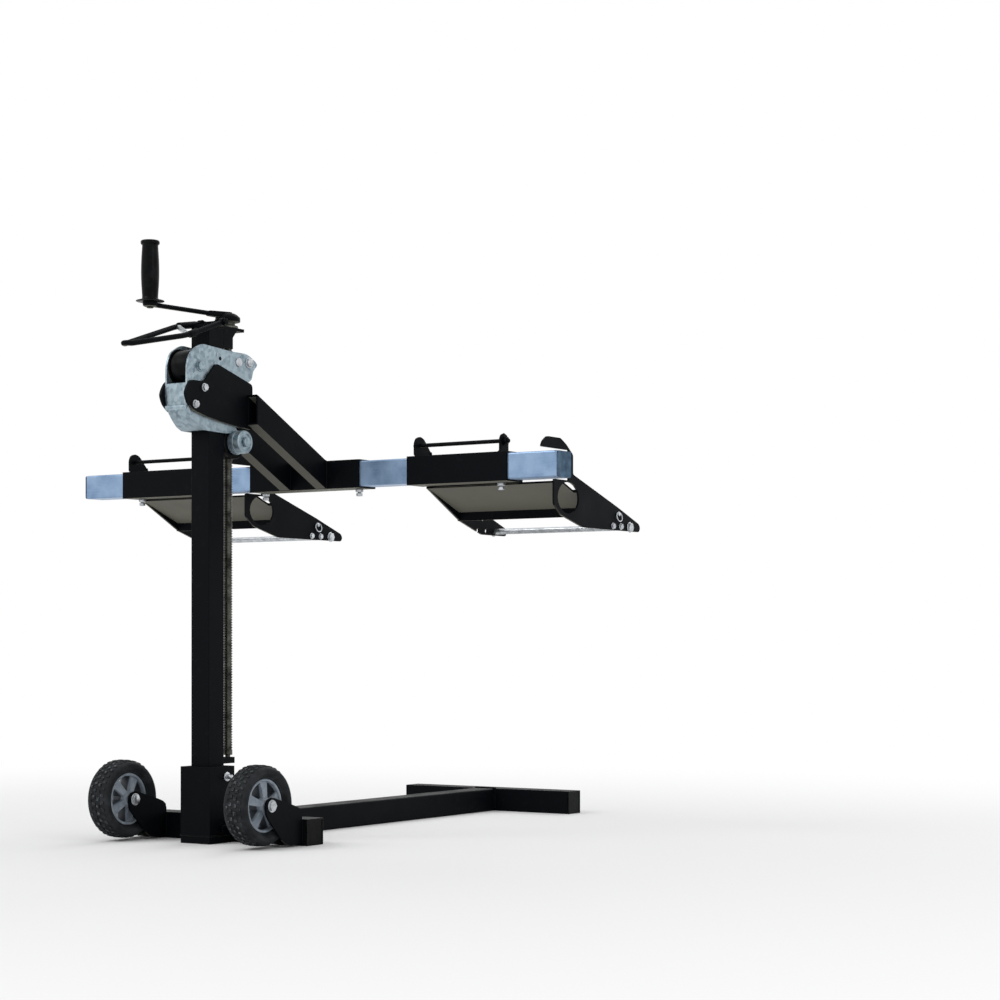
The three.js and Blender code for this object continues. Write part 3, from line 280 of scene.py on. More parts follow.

# %% [markdown]
# Powder coat is baked paint. It has a fine orange-peel relief, a gloss that wanders a little, and on a used
# tool some pale dust on level faces and a few rubbed spots. Fine noise makes the relief, broad noise moves
# the gloss, and the dust follows the faces that look up. Flat undersides are painted paler and warmer: a
# painted reflection of the bright floor below. Scales of noise are in features per metre, here and in the
# finishes below.

# %% Black powder coat
PAINT_BLACK = (0.0022, 0.0030, 0.0042)
PAINT_WORN = (0.0055, 0.0065, 0.0080)
PAINT_DUST = (0.024, 0.024, 0.023)
PAINT_FLOOR_REFLECTION = (0.17, 0.165, 0.135)
PAINT_ROUGHNESS, PAINT_SHINE = 0.42, 0.045
PAINT_WANDER, PAINT_SPOTS, PAINT_PEEL = 14, 55, 520
PEEL_STRENGTH, PEEL_HEIGHT = 0.25, 0.00025
PAINT_GLOSS = (0.4, 0.56)
RUBBED_SPOTS, RUBBED_SHARE = (0.58, 0.72), 0.8
DUSTY_CLOUDS, DUST_SHARES = (0.35, 0.75), (0.03, 0.3)
DUST_SLOPES, REFLECTION_SLOPES, REFLECTION_SHARE = (0.3, 1.0), (-0.75, -0.95), 0.8


def powder_coat():
    """Black paint with rubbed spots, dust on level faces and a painted floor reflection on the undersides."""
    finish, node_tree, shader = new_finish("black_powder_coat", PAINT_ROUGHNESS, specular=PAINT_SHINE)
    place = coordinates(node_tree)
    wander = soft_noise(node_tree, place, PAINT_WANDER, detail=4)
    spots = soft_noise(node_tree, place, PAINT_SPOTS, detail=6, roughness=0.65)
    worn = remap(node_tree, spots, *RUBBED_SPOTS, 0.0, RUBBED_SHARE)
    paint = blend_colours(node_tree, worn, PAINT_BLACK, PAINT_WORN)
    settled = remap(node_tree, wander, *DUSTY_CLOUDS, *DUST_SHARES)
    dust = worked_out(node_tree, "MULTIPLY", facing(node_tree, *DUST_SLOPES, 1.0), settled)
    dusty = blend_colours(node_tree, dust, paint, PAINT_DUST)
    # The undersides take a painted reflection of the floor, paler and warmer.
    colour = blend_colours(node_tree, facing(node_tree, *REFLECTION_SLOPES, REFLECTION_SHARE), dusty, PAINT_FLOOR_REFLECTION)
    node_tree.links.new(colour, shader.inputs["Base Color"])
    node_tree.links.new(remap(node_tree, wander, *CLOUDS, *PAINT_GLOSS), shader.inputs["Roughness"])
    bump(node_tree, shader, soft_noise(node_tree, place, PAINT_PEEL, detail=2), PEEL_STRENGTH, PEEL_HEIGHT)
    return finish


black_paint = powder_coat()
print("made", black_paint.name)

# %% [markdown]
# Hot-dip galvanised sheet shows spangle: flat zinc crystals, a few millimetres across, each with its own tone
# and gloss. Voronoi cells are the nearest pattern, and a soft noise clouds them, as weather does.

# %% Galvanised sheet
ZINC_DARK = (0.125, 0.175, 0.215)
ZINC_PALE = (0.37, 0.46, 0.51)
ZINC_ROUGHNESS, ZINC_METAL = 0.4, 0.75
ZINC_CRYSTALS, ZINC_CLOUDS = 150, 30
CLOUDED, CLOUDED_SHARES = (0.35, 0.7), (0.05, 0.65)
CRYSTAL_GLOSS = (0.3, 0.5)
CRYSTAL_STRENGTH, CRYSTAL_HEIGHT = 0.12, 0.0003


def galvanised():
    """Zinc crystals in two tones, clouded by a soft noise."""
    finish, node_tree, shader = new_finish("galvanised_sheet", ZINC_ROUGHNESS, metallic=ZINC_METAL)
    place = coordinates(node_tree)
    crystal = cells(node_tree, place, ZINC_CRYSTALS)
    cloud = soft_noise(node_tree, place, ZINC_CLOUDS, detail=5, roughness=0.6)
    mixed = blend_colours(node_tree, crystal, ZINC_DARK, ZINC_PALE)
    pale = remap(node_tree, cloud, *CLOUDED, *CLOUDED_SHARES)
    clouded = blend_colours(node_tree, pale, mixed, ZINC_PALE)
    node_tree.links.new(clouded, shader.inputs["Base Color"])
    node_tree.links.new(remap(node_tree, crystal, 0.0, 1.0, *CRYSTAL_GLOSS), shader.inputs["Roughness"])
    bump(node_tree, shader, crystal, CRYSTAL_STRENGTH, CRYSTAL_HEIGHT)
    return finish


galvanised_zinc = galvanised()
print("made", galvanised_zinc.name)

# %% [markdown]
# The crossbar is a drawn tube with a bright, bluish zinc plate. Its grain runs along the tube, so the noise
# is stretched along X. The pans' sleeves slide on it and have left duller marks.

# %% Plated tube
PLATE_BLUE = (0.165, 0.26, 0.42)
PLATE_PALE = (0.29, 0.41, 0.58)
PLATE_ROUGHNESS, PLATE_METAL = 0.34, 0.7
DRAWN_GRAIN, GRAIN_STRETCH, RUB_MARKS = 420, (0.06, 1, 1), 22
PLATE_GLOSS = (0.28, 0.46)
GRAIN_SHOWS, GRAIN_SHARE = (0.4, 0.7), 0.35
GRAIN_STRENGTH, GRAIN_HEIGHT = 0.1, 0.0002


def plated_tube():
    """A bluish plate with a drawn grain along X and paler rubbed clouds."""
    finish, node_tree, shader = new_finish("zinc_tube", PLATE_ROUGHNESS, metallic=PLATE_METAL)
    along = coordinates(node_tree, GRAIN_STRETCH)
    grain = soft_noise(node_tree, along, DRAWN_GRAIN, detail=3, roughness=0.6)
    cloud = soft_noise(node_tree, coordinates(node_tree), RUB_MARKS, detail=5, roughness=0.6)
    base = blend_colours(node_tree, remap(node_tree, cloud, *CLOUDS, 0.0, 1.0), PLATE_BLUE, PLATE_PALE)
    lines = remap(node_tree, grain, *GRAIN_SHOWS, 0.0, GRAIN_SHARE)
    fine = blend_colours(node_tree, lines, base, PLATE_PALE)
    node_tree.links.new(fine, shader.inputs["Base Color"])
    node_tree.links.new(remap(node_tree, cloud, *CLOUDS, *PLATE_GLOSS), shader.inputs["Roughness"])
    bump(node_tree, shader, grain, GRAIN_STRENGTH, GRAIN_HEIGHT)
    return finish


plated_zinc = plated_tube()
print("made", plated_zinc.name)

# %% [markdown]
# Bolts are barrel-plated, so they are brighter and slightly dulled by knocks. The lead screw is plain steel
# with a film of grease, which darkens it in patches.

# %% Bolt plate and screw steel
BOLT_PALE = (0.62, 0.65, 0.68)
BOLT_DULL = (0.36, 0.38, 0.40)
SCREW_PALE = (0.12, 0.12, 0.105)
SCREW_GREASE = (0.026, 0.025, 0.021)
STEEL_METAL = 0.9
DULLED = (0.38, 0.66)
GLOSSIER, DULLER = 0.08, 0.14
SCRATCHES_FINER, SCRATCH_STRENGTH, SCRATCH_HEIGHT = 8, 0.08, 0.0002


def metal(name, pale, dull, roughness, scale):
    """A worn metal: two tones in clouds of a given scale, and scratches eight times as fine."""
    finish, node_tree, shader = new_finish(name, roughness, metallic=STEEL_METAL)
    place = coordinates(node_tree)
    cloud = soft_noise(node_tree, place, scale, detail=5, roughness=0.6)
    spread = remap(node_tree, cloud, *DULLED, 0.0, 1.0)
    node_tree.links.new(blend_colours(node_tree, spread, pale, dull), shader.inputs["Base Color"])
    gloss = remap(node_tree, cloud, *CLOUDS, roughness - GLOSSIER, roughness + DULLER)
    node_tree.links.new(gloss, shader.inputs["Roughness"])
    scratches = soft_noise(node_tree, place, SCRATCHES_FINER * scale, detail=2)
    bump(node_tree, shader, scratches, SCRATCH_STRENGTH, SCRATCH_HEIGHT)
    return finish


bolt_plate = metal("bolt_zinc", BOLT_PALE, BOLT_DULL, roughness=0.3, scale=90)
screw_steel = metal("screw_steel", SCREW_PALE, SCREW_GREASE, roughness=0.36, scale=60)
print("made", bolt_plate.name, "and", screw_steel.name)

# %% [markdown]
# Tyre rubber is matt, and dust turns it grey where it meets the floor. Rims are grey moulded plastic, and the
# rollers, caps and grip are black plastic with a faint grain from the mould.

# %% Rubber and plastics
RUBBER_BLACK = (0.0065, 0.0085, 0.0105)
RUBBER_DUST = (0.034, 0.038, 0.042)
RIM_GREY = (0.22, 0.26, 0.31)
RIM_PALE = (0.42, 0.47, 0.52)
PLASTIC_BLACK = (0.0024, 0.0026, 0.003)
PLASTIC_SCUFF = (0.009, 0.0095, 0.0105)
SCUFFED = (0.45, 0.75)
SHINIER, MATTER = 0.07, 0.1
MOULD_STRENGTH = 0.3


def moulded(name, base, second, roughness, cloud_scale, grain_scale, grain_height, specular=0.2):
    """Rubber or plastic: a base colour with clouds of a second, and the mould's fine grain."""
    finish, node_tree, shader = new_finish(name, roughness, specular=specular)
    place = coordinates(node_tree)
    cloud = soft_noise(node_tree, place, cloud_scale, detail=6, roughness=0.62)
    spread = remap(node_tree, cloud, *SCUFFED, 0.0, 1.0)
    node_tree.links.new(blend_colours(node_tree, spread, base, second), shader.inputs["Base Color"])
    gloss = remap(node_tree, cloud, *CLOUDS, roughness - SHINIER, roughness + MATTER)
    node_tree.links.new(gloss, shader.inputs["Roughness"])
    grain = soft_noise(node_tree, place, grain_scale, detail=2)
    bump(node_tree, shader, grain, MOULD_STRENGTH, grain_height)
    return finish


tyre_rubber = moulded(
    "tyre_rubber", RUBBER_BLACK, RUBBER_DUST, roughness=0.7, cloud_scale=32, grain_scale=700,
    grain_height=0.0004)
rim_plastic = moulded(
    "rim_plastic", RIM_GREY, RIM_PALE, roughness=0.4, cloud_scale=45, grain_scale=900,
    grain_height=0.0002, specular=0.4)
black_plastic = moulded(
    "black_plastic", PLASTIC_BLACK, PLASTIC_SCUFF, roughness=0.3, cloud_scale=50, grain_scale=1100,
    grain_height=0.0001, specular=0.06)
print("made", tyre_rubber.name, rim_plastic.name, black_plastic.name)

# %% [markdown]
# The tops of the tyre's knobs are paler in patches: partly scuffed rubber, partly a painted highlight where
# light catches them. They are the places furthest from the axle. Painted shade darkens the rim between its
# spokes: the deepest places are those nearest the wheel's middle plane. Both wheels stand as far from the
# mast, so the size of X serves both.

# %% Scuffs, painted highlight and painted shade on the wheels
KNOB_SCUFF_AND_HIGHLIGHT = (0.13, 0.14, 0.15)
KNOB_TOPS = (0.0743, 0.0752)
PALE_PATCHES_PER_METRE, PALE_PATCH_SHOWS = 160, (0.5, 0.66)
RIM_PAINTED_SHADE = (0.014, 0.019, 0.026)
RIM_SHADE_DEPTHS, RIM_SHADE_SHARE = (0.0080, 0.0108), 0.92
rim_low, rim_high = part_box("wheel_rim_right")
rim_middle = (rim_low + rim_high) / 2


def laid_over(finish, share, colour):
    """One more colour over a finish, by a value from 0 to 1."""
    base = finish.node_tree.nodes["Principled BSDF"].inputs["Base Color"]
    under = base.links[0].from_socket
    finish.node_tree.links.new(blend_colours(finish.node_tree, share, under, colour), base)


tread = tyre_rubber.node_tree
from_axle = distance(tread, coordinates(tread, (0, 1, 1), (0, -rim_middle.y, -rim_middle.z)))
pale_patch_noise = soft_noise(tread, coordinates(tread), PALE_PATCHES_PER_METRE, detail=4, roughness=0.7)
pale_patches = remap(tread, pale_patch_noise, *PALE_PATCH_SHOWS, 0.0, 1.0)
knob_tops = remap(tread, from_axle, *KNOB_TOPS, 0.0, 1.0)
# Paler knob tops: scuffed rubber together with a painted highlight.
laid_over(tyre_rubber, worked_out(tread, "MULTIPLY", knob_tops, pale_patches), KNOB_SCUFF_AND_HIGHLIGHT)
hollow = rim_plastic.node_tree
from_mast = distance(hollow, coordinates(hollow, (1, 0, 0)))
from_middle = worked_out(hollow, "ABSOLUTE", worked_out(hollow, "SUBTRACT", from_mast, rim_middle.x))
# Painted shade in the rim's depths, between the spokes.
laid_over(rim_plastic, remap(hollow, from_middle, *RIM_SHADE_DEPTHS, RIM_SHADE_SHARE, 0.0), RIM_PAINTED_SHADE)
print("wheel middle at", [round(value, 4) for value in rim_middle])

# %% [markdown]
# The CAD nodes whose shapes are right keep their meshes and only change material. Their edges are sharp, as
# in any CAD model, while a real tube has rounded corners and a cut plate a broken edge. A Weld modifier joins
# the loose triangles, and a narrow Bevel then catches the light along every edge.

# %% Finish and edges of the CAD nodes
FINISHES = {
    "black_powder_coat": black_paint,
    "galvanised_sheet": galvanised_zinc,
    "zinc_tube": plated_zinc,
    "bright_bolt": bolt_plate,
    "screw_steel": screw_steel,
    "rubber": tyre_rubber,
    "rim_plastic": rim_plastic,
    "black_plastic": black_plastic,
}
slot_of = {part["node"]: part["material_slot"] for part in frame["record"]["subparts"]}
TUBE_NODES = (
    "mast_tube", "cross_tube", "spine_tube", "foot_crossbar", "crossbar_tube", "centre_sleeve",
    "pan_sleeve_left", "pan_sleeve_right", "lift_arm_left", "lift_arm_right", "base_socket",
)
TUBE_CORNER = {"width": 0.0032, "segments": 3}
PLATE_CORNER = {"width": 0.0006, "segments": 2}
WELD_REACH = 0.00001
EDGE_ANGLE = math.radians(40)


def soften_edges(piece, width, segments):
    """Round a CAD node's sharp edges; the mesh itself stays as it is."""
    weld = piece.modifiers.new("weld", "WELD")
    weld.merge_threshold = WELD_REACH
    bevel = piece.modifiers.new("edge", "BEVEL")
    bevel.width = width
    bevel.segments = segments
    bevel.limit_method = "ANGLE"
    bevel.angle_limit = EDGE_ANGLE
    bevel.use_clamp_overlap = True
    bevel.harden_normals = False


for node_name, piece in nodes.items():
    piece.data.materials.clear()
    piece.data.materials.append(FINISHES[slot_of[node_name]])
    soften_edges(piece, **(TUBE_CORNER if node_name in TUBE_NODES else PLATE_CORNER))
print("finished CAD nodes:", len(nodes))

# %% [markdown]
# The round pieces of the lift, such as rollers, rims, washers and the grip, are turned or moulded, so here
# they are turned too: a circle is added at the first step of the profile, then extruded, moved and scaled
# to each next step. It could be one spin of a drawn profile, but this way every step is a plain pair of
# numbers, radius and distance along the axis, that can be read off the real piece. The long profiles are in
# millimetres.

# %% Helpers for modelling
MM = 0.001
ROUND, ROUND_SLIM, ROUND_SMALL, ROUND_WIDE, ROUND_WHEEL = 48, 24, 32, 64, 72
AXES = {"X": Vector((1, 0, 0)), "Y": Vector((0, 1, 0)), "Z": Vector((0, 0, 1))}
STAND_UP = {"X": (0, math.radians(90), 0), "Y": (math.radians(-90), 0, 0), "Z": (0, 0, 0)}
SIDES = {"left": -1, "right": 1}
SMOOTH_ANGLE = math.radians(32)
FACING = 0.9
body_of = {node: body for body, group in frame["record"]["behaviour"]["bodies"].items() for node in group}


def edit(piece, mode="FACE"):
    """Open one piece in edit mode with nothing selected."""
    deselect_all()
    piece.select_set(True)
    bpy.context.view_layer.objects.active = piece
    bpy.ops.object.mode_set(mode="EDIT")
    bpy.ops.mesh.select_mode(type=mode)
    bpy.ops.mesh.select_all(action="DESELECT")


def choose(piece, kind, test):
    """Select only the faces, edges or corners that pass a test."""
    shape = bmesh.from_edit_mesh(piece.data)
    parts = {"FACE": shape.faces, "EDGE": shape.edges, "VERT": shape.verts}[kind]
    for part in parts:
        part.select_set(False)
    for part in [part for part in parts if test(part)]:
        part.select_set(True)
    bmesh.update_edit_mesh(piece.data)


def looks(axis, outward=1):
    """The test for faces that look along an axis."""
    return lambda face: face.normal.dot(AXES[axis]) * outward > FACING


def middle(part):
    """The middle of an edge or a face."""
    return sum((corner.co for corner in part.verts), Vector()) / len(part.verts)


def close_up(piece, smooth=True):
    """Turn all faces outwards, leave edit mode and smooth the shallow edges."""
    bpy.ops.mesh.select_all(action="SELECT")
    bpy.ops.mesh.normals_make_consistent(inside=False)
    bpy.ops.object.mode_set(mode="OBJECT")
    if smooth:
        bpy.ops.object.shade_smooth_by_angle(angle=SMOOTH_ANGLE)
    return piece


def block(centre, size):
    """A block with its place and size in its mesh, open in edit mode."""
    deselect_all()
    bpy.ops.mesh.primitive_cube_add(size=1, location=centre)
    piece = bpy.context.object
    piece.scale = size
    bpy.ops.object.transform_apply(location=True, rotation=False, scale=True)
    edit(piece)
    return piece


def turned(profile, centre, axis="X", sides=ROUND, ring=False):
    """Turn (radius, along) steps round an axis through the centre; a ring keeps its bore open."""
    deselect_all()
    along_axis = AXES[axis]
    centre = Vector(centre)
    radius, along = profile[0]
    bpy.ops.mesh.primitive_circle_add(
        vertices=sides, radius=radius, location=centre + along_axis * along, rotation=STAND_UP[axis])
    piece = bpy.context.object
    bpy.ops.object.transform_apply(location=True, rotation=True, scale=True)
    bpy.ops.object.mode_set(mode="EDIT")
    bpy.ops.mesh.select_mode(type="EDGE")
    bpy.ops.mesh.select_all(action="SELECT")
    for (old_radius, old_along), (radius, along) in zip(profile, profile[1:]):
        step = along_axis * (along - old_along)
        bpy.ops.mesh.extrude_region_move(TRANSFORM_OT_translate={"value": step})
        size = [1 if part else radius / old_radius for part in along_axis]
        bpy.ops.transform.resize(value=size, center_override=centre + along_axis * along)
    if ring:
        bpy.ops.mesh.select_all(action="DESELECT")
        bpy.ops.mesh.select_non_manifold(extend=False, use_wire=False, use_multi_face=False,
                                         use_non_contiguous=False, use_verts=False)
        bpy.ops.mesh.bridge_edge_loops()
    else:
        bpy.ops.mesh.select_all(action="SELECT")
        bpy.ops.mesh.fill_holes(sides=0)
    return close_up(piece)


def in_metres(profile):
    """A profile that is given in millimetres, in metres."""
    return [(radius * MM, along * MM) for radius, along in profile]


def joined(pieces):
    """Make one piece of several."""
    deselect_all()
    for piece in pieces:
        piece.select_set(True)
    bpy.context.view_layer.objects.active = pieces[0]
    bpy.ops.object.join()
    return pieces[0]


def copied(piece, change):
    """A copy with its own mesh, moved or turned by a matrix."""
    twin = piece.copy()
    twin.data = piece.data.copy()
    scene.collection.objects.link(twin)
    twin.data.transform(change)
    return twin


def axis_of(node):
    """The lowest and highest corner of a CAD node, and the y and z of its axis along X."""
    low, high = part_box(node)
    return low, high, (low.y + high.y) / 2, (low.z + high.z) / 2


def dress(piece, name, slot_name, body, *replaced, finish=None):
    """Name a piece, give it its finish, and let it move with its CAD body."""
    piece.name = name
    piece.data.name = name
    piece.data.materials.clear()
    piece.data.materials.append(finish or FINISHES[slot_name])
    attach(piece, body)
    if replaced:
        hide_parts(*replaced)
    return piece


def stand_for(node, piece, slot_name, finish=None):
    """Dress a piece that replaces a CAD node, and rides where the node rides."""
    return dress(piece, node + "_fine", slot_name, body_of[node], node, finish=finish)


print("modelling helpers ready")

# %% [markdown]
# A bolt through a tube has a forged hexagon head over a washer at one end, and a nut over a washer with a
# few threads past it at the other. The head's corners are turned off, so its top face is inset and its rim
# lowered. The threads are rings and not a spiral, which nobody can tell on a tail this short.

# %% Hexagons, washers and threads
HEAD_CHAMFER, HEAD_EDGE = 0.14, 0.0003
TOP_SHARE, CORNER_SHARE = 0.49, 0.93
WASHER_THICK, WASHER_SPREAD, WASHER_ROLL = 0.0013, 1.18, 0.25
THREAD_STEP, THREAD_DEPTH, THREAD_TIP = 0.00125, 0.09, 0.9
ROOT_AT, CREST_AT = 0.2, 0.55


def hexagon(centre, axis, outward, radius, thick):
    """A six-sided head or nut, with its middle at the centre and its turned face outwards."""
    deselect_all()
    bpy.ops.mesh.primitive_cylinder_add(
        vertices=6, radius=radius, depth=thick, location=centre, rotation=STAND_UP[axis])
    piece = bpy.context.object
    bpy.ops.object.transform_apply(location=True, rotation=True, scale=True)
    edit(piece)
    centre, outside = Vector(centre), AXES[axis] * outward
    choose(piece, "FACE", looks(axis, outward))
    bpy.ops.mesh.inset(thickness=radius * HEAD_CHAMFER, depth=0)
    choose(piece, "VERT", lambda corner: (corner.co - centre).dot(outside) > thick * TOP_SHARE
           and (corner.co - centre - outside * thick / 2).length > radius * CORNER_SHARE)
    bpy.ops.transform.translate(value=outside * (-thick * HEAD_CHAMFER))
    close_up(piece, smooth=False)
    rounded = piece.modifiers.new("edge", "BEVEL")
    rounded.width = HEAD_EDGE
    rounded.segments = 2
    bpy.ops.object.modifier_apply(modifier="edge")
    bpy.ops.object.shade_smooth_by_angle(angle=SMOOTH_ANGLE)
    return piece


def washer(centre, bore, radius, thick=WASHER_THICK):
    """A flat washer along X with softly rolled rims, starting at the centre."""
    roll = thick * WASHER_ROLL
    steps = [(bore, 0), (radius - roll, 0), (radius, roll), (radius, thick - roll), (radius - roll, thick),
             (bore, thick)]
    return turned(steps, centre, "X", ROUND_SMALL, ring=True)


def threaded(centre, axis, radius, start, end):
    """A threaded rod: rings between a crest and a root, with a small cone at each end."""
    root = radius * (1 - THREAD_DEPTH)
    turns = max(2, round((end - start) / THREAD_STEP))
    step = (end - start) / turns
    steps = [(root * THREAD_TIP, start)]
    for i in range(turns):
        steps += [(root, start + step * (i + ROOT_AT)), (radius, start + step * (i + CREST_AT))]
    steps.append((root * THREAD_TIP, end))
    return turned(steps, centre, axis, ROUND_SLIM)


print("bolt helpers ready")

# %% [markdown]
# Every bolt that runs across the lift is made alike: head and washer on the right, nut, washer and threads on
# the left. The CAD bolt gives its place and length, and only the sizes of the hexagon differ.

# %% Bolts across the lift
WHEEL_AXLE = {"shank": 0.006, "head": 0.010, "thick": 0.005, "tail": 0.009}
ARM_BOLT = {"shank": 0.005, "head": 0.0068, "thick": 0.006, "tail": 0.008}
CROSS_BOLTS = {
    "base_bolt": {"shank": 0.005, "head": 0.008, "thick": 0.006, "tail": 0.009, "slot": "black_powder_coat"},
    "wheel_axle_left": WHEEL_AXLE,
    "wheel_axle_right": WHEEL_AXLE,
    "front_spacer_bolt": {"shank": 0.005, "head": 0.009, "thick": 0.006, "tail": 0.008},
    "upper_roller_axle": {
        "shank": 0.006, "head": 0.009, "thick": 0.006, "tail": 0.008, "slot": "galvanised_sheet"},
    "upper_arm_bolt": ARM_BOLT,
    "lower_arm_bolt": ARM_BOLT,
}
SHANK_SHARE = 0.98


def cross_bolt(node, shank, head, thick, tail, slot="bright_bolt"):
    """A bolt along X where the CAD bolt is: its box gives the ends, the sizes give the rest."""
    low, high, y, z = axis_of(node)
    head_seat, nut_seat = high.x - thick, low.x + tail
    nut_middle = (thick + WASHER_THICK) / 2
    plain = shank * SHANK_SHARE
    return stand_for(node, joined([
        hexagon((head_seat + nut_middle, y, z), "X", 1, head, thick - WASHER_THICK),
        hexagon((nut_seat - nut_middle, y, z), "X", -1, head, thick - WASHER_THICK),
        washer((head_seat, y, z), shank, head * WASHER_SPREAD),
        washer((nut_seat - WASHER_THICK, y, z), shank, head * WASHER_SPREAD),
        threaded((0, y, z), "X", shank, low.x, nut_seat + thick),
        turned([(plain, nut_seat), (plain, head_seat + thick / 2)], (0, y, z), "X", ROUND_SLIM),
    ]), slot)


for node, sizes in CROSS_BOLTS.items():
    bolt = cross_bolt(node, **sizes)
    print(bolt.name, len(bolt.data.polygons), "faces")

# %% [markdown]
# The rod at the front of each pan and the rod over its sleeve are threaded at both ends and held by a nut
# and a washer outside each wall. The front rod is bright and the top rod is painted.

# %% Pan rods
PAN_RODS = {
    "pan_front_rod": {"rod": 0.006, "nut": 0.009, "thick": 0.006, "tail": 0.003, "slot": "bright_bolt"},
    "pan_top_rod": {"rod": 0.004, "nut": 0.008, "thick": 0.007, "tail": 0.011, "slot": "black_powder_coat"},
}
ROD_INTO_WALL, THREAD_SHORT = 0.002, 0.0002


def pan_rod(node, rod, nut, thick, tail, slot):
    """A rod along X between two walls, with a nut, a washer and some threads outside each."""
    low, high, y, z = axis_of(node)
    reach = max(thick, tail)
    seats = (low.x + reach, high.x - reach)
    steps = [(rod, seats[0] - ROD_INTO_WALL), (rod, seats[1] + ROD_INTO_WALL)]
    parts = [turned(steps, (0, y, z), "X", ROUND_SMALL)]
    for seat, outward in zip(seats, (-1, 1)):
        nut_middle = seat + outward * (thick + WASHER_THICK) / 2
        parts.append(hexagon((nut_middle, y, z), "X", outward, nut, thick - WASHER_THICK))
        parts.append(washer((min(seat, seat + outward * WASHER_THICK), y, z), rod, nut * WASHER_SPREAD))
        ends = sorted((seat, seat + outward * (reach - THREAD_SHORT)))
        parts.append(threaded((0, y, z), "X", rod * SHANK_SHARE, *ends))
    return stand_for(node, joined(parts), slot)


for side in SIDES:
    for kind, sizes in PAN_RODS.items():
        rod_piece = pan_rod(f"{kind}_{side}", **sizes)
        print(rod_piece.name, len(rod_piece.data.polygons), "faces")

# %% [markdown]
# Two bolts under the centre sleeve hold the crossbar, and one under each pan sleeve clamps that pan. Each has
# a weld nut against the sleeve and a smaller hexagon head below it, with threads between the two.

# %% Bolts under the sleeves
UNDER_BOLTS = ("sleeve_bolt_left", "sleeve_bolt_right", "pan_clamp_bolt_left", "pan_clamp_bolt_right")
UNDER_NUT, UNDER_NUT_HIGH = 0.008, 0.007
UNDER_HEAD, UNDER_HEAD_HIGH = 0.0065, 0.006
UNDER_SHANK, UNDER_GAP = 0.004, 0.002

for node in UNDER_BOLTS:
    low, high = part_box(node)
    x, y = (low.x + high.x) / 2, (low.y + high.y) / 2
    head_middle = low.z + UNDER_HEAD_HIGH / 2
    nut_low = low.z + UNDER_HEAD_HIGH + UNDER_GAP
    stand_for(node, joined([
        hexagon((x, y, head_middle), "Z", -1, UNDER_HEAD, UNDER_HEAD_HIGH),
        hexagon((x, y, nut_low + UNDER_NUT_HIGH / 2), "Z", -1, UNDER_NUT, UNDER_NUT_HIGH),
        threaded((x, y, 0), "Z", UNDER_SHANK, head_middle, high.z),
    ]), "bright_bolt")
print("bolts under the sleeves:", len(UNDER_BOLTS))

# %% [markdown]
# The lower rollers turn on short axles with a wide turned boss outside the ear, held by a hexagon head. The
# boss has a chamfered rim and a shallow groove, as a piece cut on a lathe has.

# %% Lower roller axles
BOSS_RADIUS, BOSS_LONG, BOSS_CUT = 0.0225, 0.022, 0.0012
BOSS_STEPS = [
    (BOSS_RADIUS - BOSS_CUT, 0), (BOSS_RADIUS, BOSS_CUT), (BOSS_RADIUS, BOSS_LONG * 0.3),
    (BOSS_RADIUS - BOSS_CUT / 2, BOSS_LONG * 0.33), (BOSS_RADIUS - BOSS_CUT / 2, BOSS_LONG * 0.4),
    (BOSS_RADIUS, BOSS_LONG * 0.43), (BOSS_RADIUS, BOSS_LONG - BOSS_CUT * 1.5),
    (BOSS_RADIUS - BOSS_CUT * 1.5, BOSS_LONG), (BOSS_RADIUS * 0.72, BOSS_LONG),
    (BOSS_RADIUS * 0.7, BOSS_LONG - BOSS_CUT),
]
AXLE_SHANK, AXLE_HEAD, AXLE_HEAD_THICK = 0.006, 0.010, 0.006


def roller_axle(node, outward):
    """A short axle whose boss and head are on its outer side."""
    low, high, y, z = axis_of(node)
    tip, end = (low.x, high.x) if outward > 0 else (high.x, low.x)
    boss_end = end - outward * AXLE_HEAD_THICK
    boss_start = boss_end - outward * BOSS_LONG
    boss_profile = [(radius, outward * along) for radius, along in BOSS_STEPS]
    head_middle = boss_end + outward * AXLE_HEAD_THICK / 2
    return stand_for(node, joined([
        turned(boss_profile, (boss_start, y, z)),
        turned([(AXLE_SHANK, 0), (AXLE_SHANK, boss_end - tip)], (tip, y, z), "X", ROUND_SMALL),
        hexagon((head_middle, y, z), "X", outward, AXLE_HEAD, AXLE_HEAD_THICK),
    ]), "galvanised_sheet")


for side, outward in SIDES.items():
    axle = roller_axle(f"lower_roller_axle_{side}", outward)
    print(axle.name, len(axle.data.polygons), "faces")

# %% [markdown]
# The lead screw is an acme rod: a flat-topped thread runs its whole length between two plain journals. The
# screw modifier makes that from one pitch of the thread's profile, drawn as a few short edges beside the
# axis, and each turn climbs by one pitch. A turned rod then covers both ends.

# %% Lead screw
SCREW_RADIUS, SCREW_ROOT, JOURNAL_RADIUS = 0.0092, 0.0077, 0.005
SCREW_LEAD = 0.00508
TOOTH_SHARE, CREST_SHARE = 0.6, 0.55
THREAD_LOW, THREAD_HIGH = 0.168, 0.986
COLLAR_LOW = 0.166
END_CUT, END_CUT_LONG = 0.0006, 0.0008
NECK_RADIUS, NECK_CUT = 0.008, 0.001
SCREW_STEPS = 20
MERGE_REACH = 0.00002
screw_low, screw_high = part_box("lead_screw")
screw_axis = Vector((0, (screw_low.y + screw_high.y) / 2, 0))


def clean(piece):
    """Merge the doubles of a piece."""
    edit(piece, "VERT")
    bpy.ops.mesh.select_all(action="SELECT")
    bpy.ops.mesh.remove_doubles(threshold=MERGE_REACH)
    return piece


